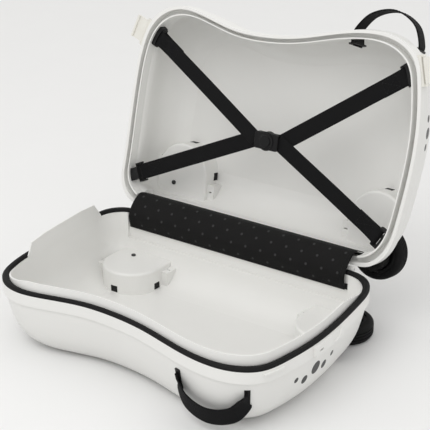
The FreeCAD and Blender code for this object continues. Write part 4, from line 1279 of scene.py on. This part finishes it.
@dataclass(frozen=True)
class Lamp:
    """A soft round lamp that looks at the case.

    Args:
        name: Name of the lamp.
        place: Where it hangs.
        size: Its size in metres.
        power: Its power in watts.
        aim: The place that it looks at.
    """

    name: str
    place: Triple
    size: float
    power: float
    aim: Triple = (0.0, 0.05, 0.15)

    def hang(self) -> None:
        """Put the lamp in the scene."""
        data = bpy.data.lights.new(self.name, "AREA")
        data.shape, data.size, data.energy = "DISK", self.size, self.power
        lamp = bpy.data.objects.new(self.name, data)
        lamp.location = self.place
        lamp.rotation_euler = (Vector(self.aim) - Vector(self.place)).to_track_quat("-Z", "Y").to_euler()
        bpy.context.scene.collection.objects.link(lamp)


@dataclass(frozen=True)
class Studio:
    """Floor, lamps and camera.

    Args:
        camera: Place of the camera in metres.
        azimuth: Turn of the view from straight on, in degrees.
        elevation: Height of the view, in degrees.
        roll: Turn of the picture, in degrees.
        lens: Focal length in millimetres.
        floor: Half the size of the floor in metres.
        gap: How far the floor lies under the case.
        pale: Darker and lighter tone that the floor shows.
        bounce: Tone of the light that the floor sends back to the case.
        glow: Strength of the light from all round.
        sky: Colour of that light.
        lamps: The lamps.
    """

    camera: Triple = (0.99849, -1.29234, 0.89076)
    azimuth: float = 35.84
    elevation: float = 22.84
    roll: float = -0.2
    lens: float = 105.6
    floor: float = 9.0
    gap: float = 0.0006
    pale: tuple[Colour, Colour] = ((0.82, 0.82, 0.816), (0.84, 0.84, 0.836))
    bounce: Colour = (0.68, 0.68, 0.675)
    glow: float = 0.93
    sky: Colour = (1.0, 0.995, 0.985)
    lamps: tuple[Lamp, ...] = (
        Lamp("key", (-1.5, -1.7, 2.3), 2.4, 2.5), Lamp("fill", (2.2, -0.8, 1.6), 2.6, 2.0),
        Lamp("top", (0.1, -1.3, 1.9), 1.4, 10.0))

    def build(self, effects: Effects) -> None:
        """Set up the stage.

        Args:
            effects: The shared node groups.
        """
        self._floor(effects)
        self._world()
        for lamp in self.lamps:
            lamp.hang()
        self._camera()
        bpy.context.scene.view_settings.view_transform = "Standard"

    def _floor(self, effects: Effects) -> None:
        """Lay the floor.

        Args:
            effects: The shared node groups.
        """
        size = self.floor
        mesh = bpy.data.meshes.new("floor")
        corners = [(-size, -size, 0.0), (size, -size, 0.0), (size, size, 0.0), (-size, size, 0.0)]
        mesh.from_pydata(corners, [], [(0, 1, 2, 3)])
        floor = shown(mesh)
        floor.location.z = -self.gap
        material, graph, shader = start_material("floor")
        grain = effects.grain.place(graph, Scale=400.0, Depth=0.0)
        seen = graph.add("ShaderNodeLightPath")
        mirrored = graph.math("MAXIMUM", seen.outputs["Is Glossy Ray"], seen.outputs["Is Transmission Ray"])
        visible = graph.math("MAXIMUM", seen.outputs["Is Camera Ray"], mirrored)
        pale = graph.mix(grain["Tone"], *self.pale)
        graph.feed(shader.inputs, Base_Color=graph.mix(visible, self.bounce, pale), Roughness=0.9,
                   Specular_IOR_Level=0.1)
        mesh.materials.append(material)

    def _world(self) -> None:
        """Light the scene evenly from all round."""
        world = bpy.data.worlds.new("studio")
        world.use_nodes = True
        background = world.node_tree.nodes["Background"]
        background.inputs["Color"].default_value = (*self.sky, 1.0)
        background.inputs["Strength"].default_value = self.glow
        bpy.context.scene.world = world

    def _camera(self) -> None:
        """Put the camera where the photograph was taken from."""
        data = bpy.data.cameras.new("camera")
        data.lens, data.sensor_width = self.lens, 36.0
        data.clip_start, data.clip_end = 0.05, 60.0
        camera = bpy.data.objects.new("camera", data)
        turn, rise = math.radians(self.azimuth), math.radians(self.elevation)
        back = Vector((math.sin(turn) * math.cos(rise), -math.cos(turn) * math.cos(rise), math.sin(rise)))
        look = (-back).to_track_quat("-Z", "Y").to_matrix().to_4x4()
        roll = Matrix.Rotation(math.radians(self.roll), 4, "Z")
        camera.matrix_world = Matrix.Translation(self.camera) @ look @ roll
        bpy.context.scene.collection.objects.link(camera)
        bpy.context.scene.camera = camera


def dress(frame: Frame, finishes: Finishes) -> None:
    """Give each CAD node the finish of its slot.

    Args:
        frame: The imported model.
        finishes: The materials.
    """
    spots = {
        "base_shell": [Spot(-0.030, 0.056, 0.0100), Spot(-0.054, 0.048, 0.0065), Spot(-0.007, 0.050, 0.0065),
                       Spot(-0.074, 0.056, 0.0042), Spot(0.013, 0.058, 0.0042)],
        "lid_shell": [Spot(0.262, 0.300, 0.0085), Spot(0.262, 0.322, 0.0055), Spot(0.258, 0.280, 0.0055)]}
    for part in frame["record"]["subparts"]:
        node = frame["nodes"][part["node"]]
        material = finishes.made[part["material_slot"]]
        if part["node"] in spots:
            material = finishes.moulded(part["node"], MOULDED[Slot.WHITE], spots[part["node"]])
        node.data.materials.clear()
        node.data.materials.append(material)


def main(frame: Frame) -> None:
    """Dress the case and set the stage.

    Args:
        frame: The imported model.
    """
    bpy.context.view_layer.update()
    effects = Effects()
    finishes = Finishes(effects)
    finishes.build()
    dress(frame, finishes)
    CrossStraps().build(finishes)
    ReturnSpring().build(finishes)
    CarryHandle(Half.BASE, standout=0.018, drop=0.030).build(finishes)
    CarryHandle(Half.LID, standout=0.046, drop=0.0).build(finishes)
    HingeCover().build(finishes)
    Studio().build(effects)


if __name__ == "__main__":
    logging.basicConfig(level=logging.INFO)
    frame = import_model()
    main(frame)
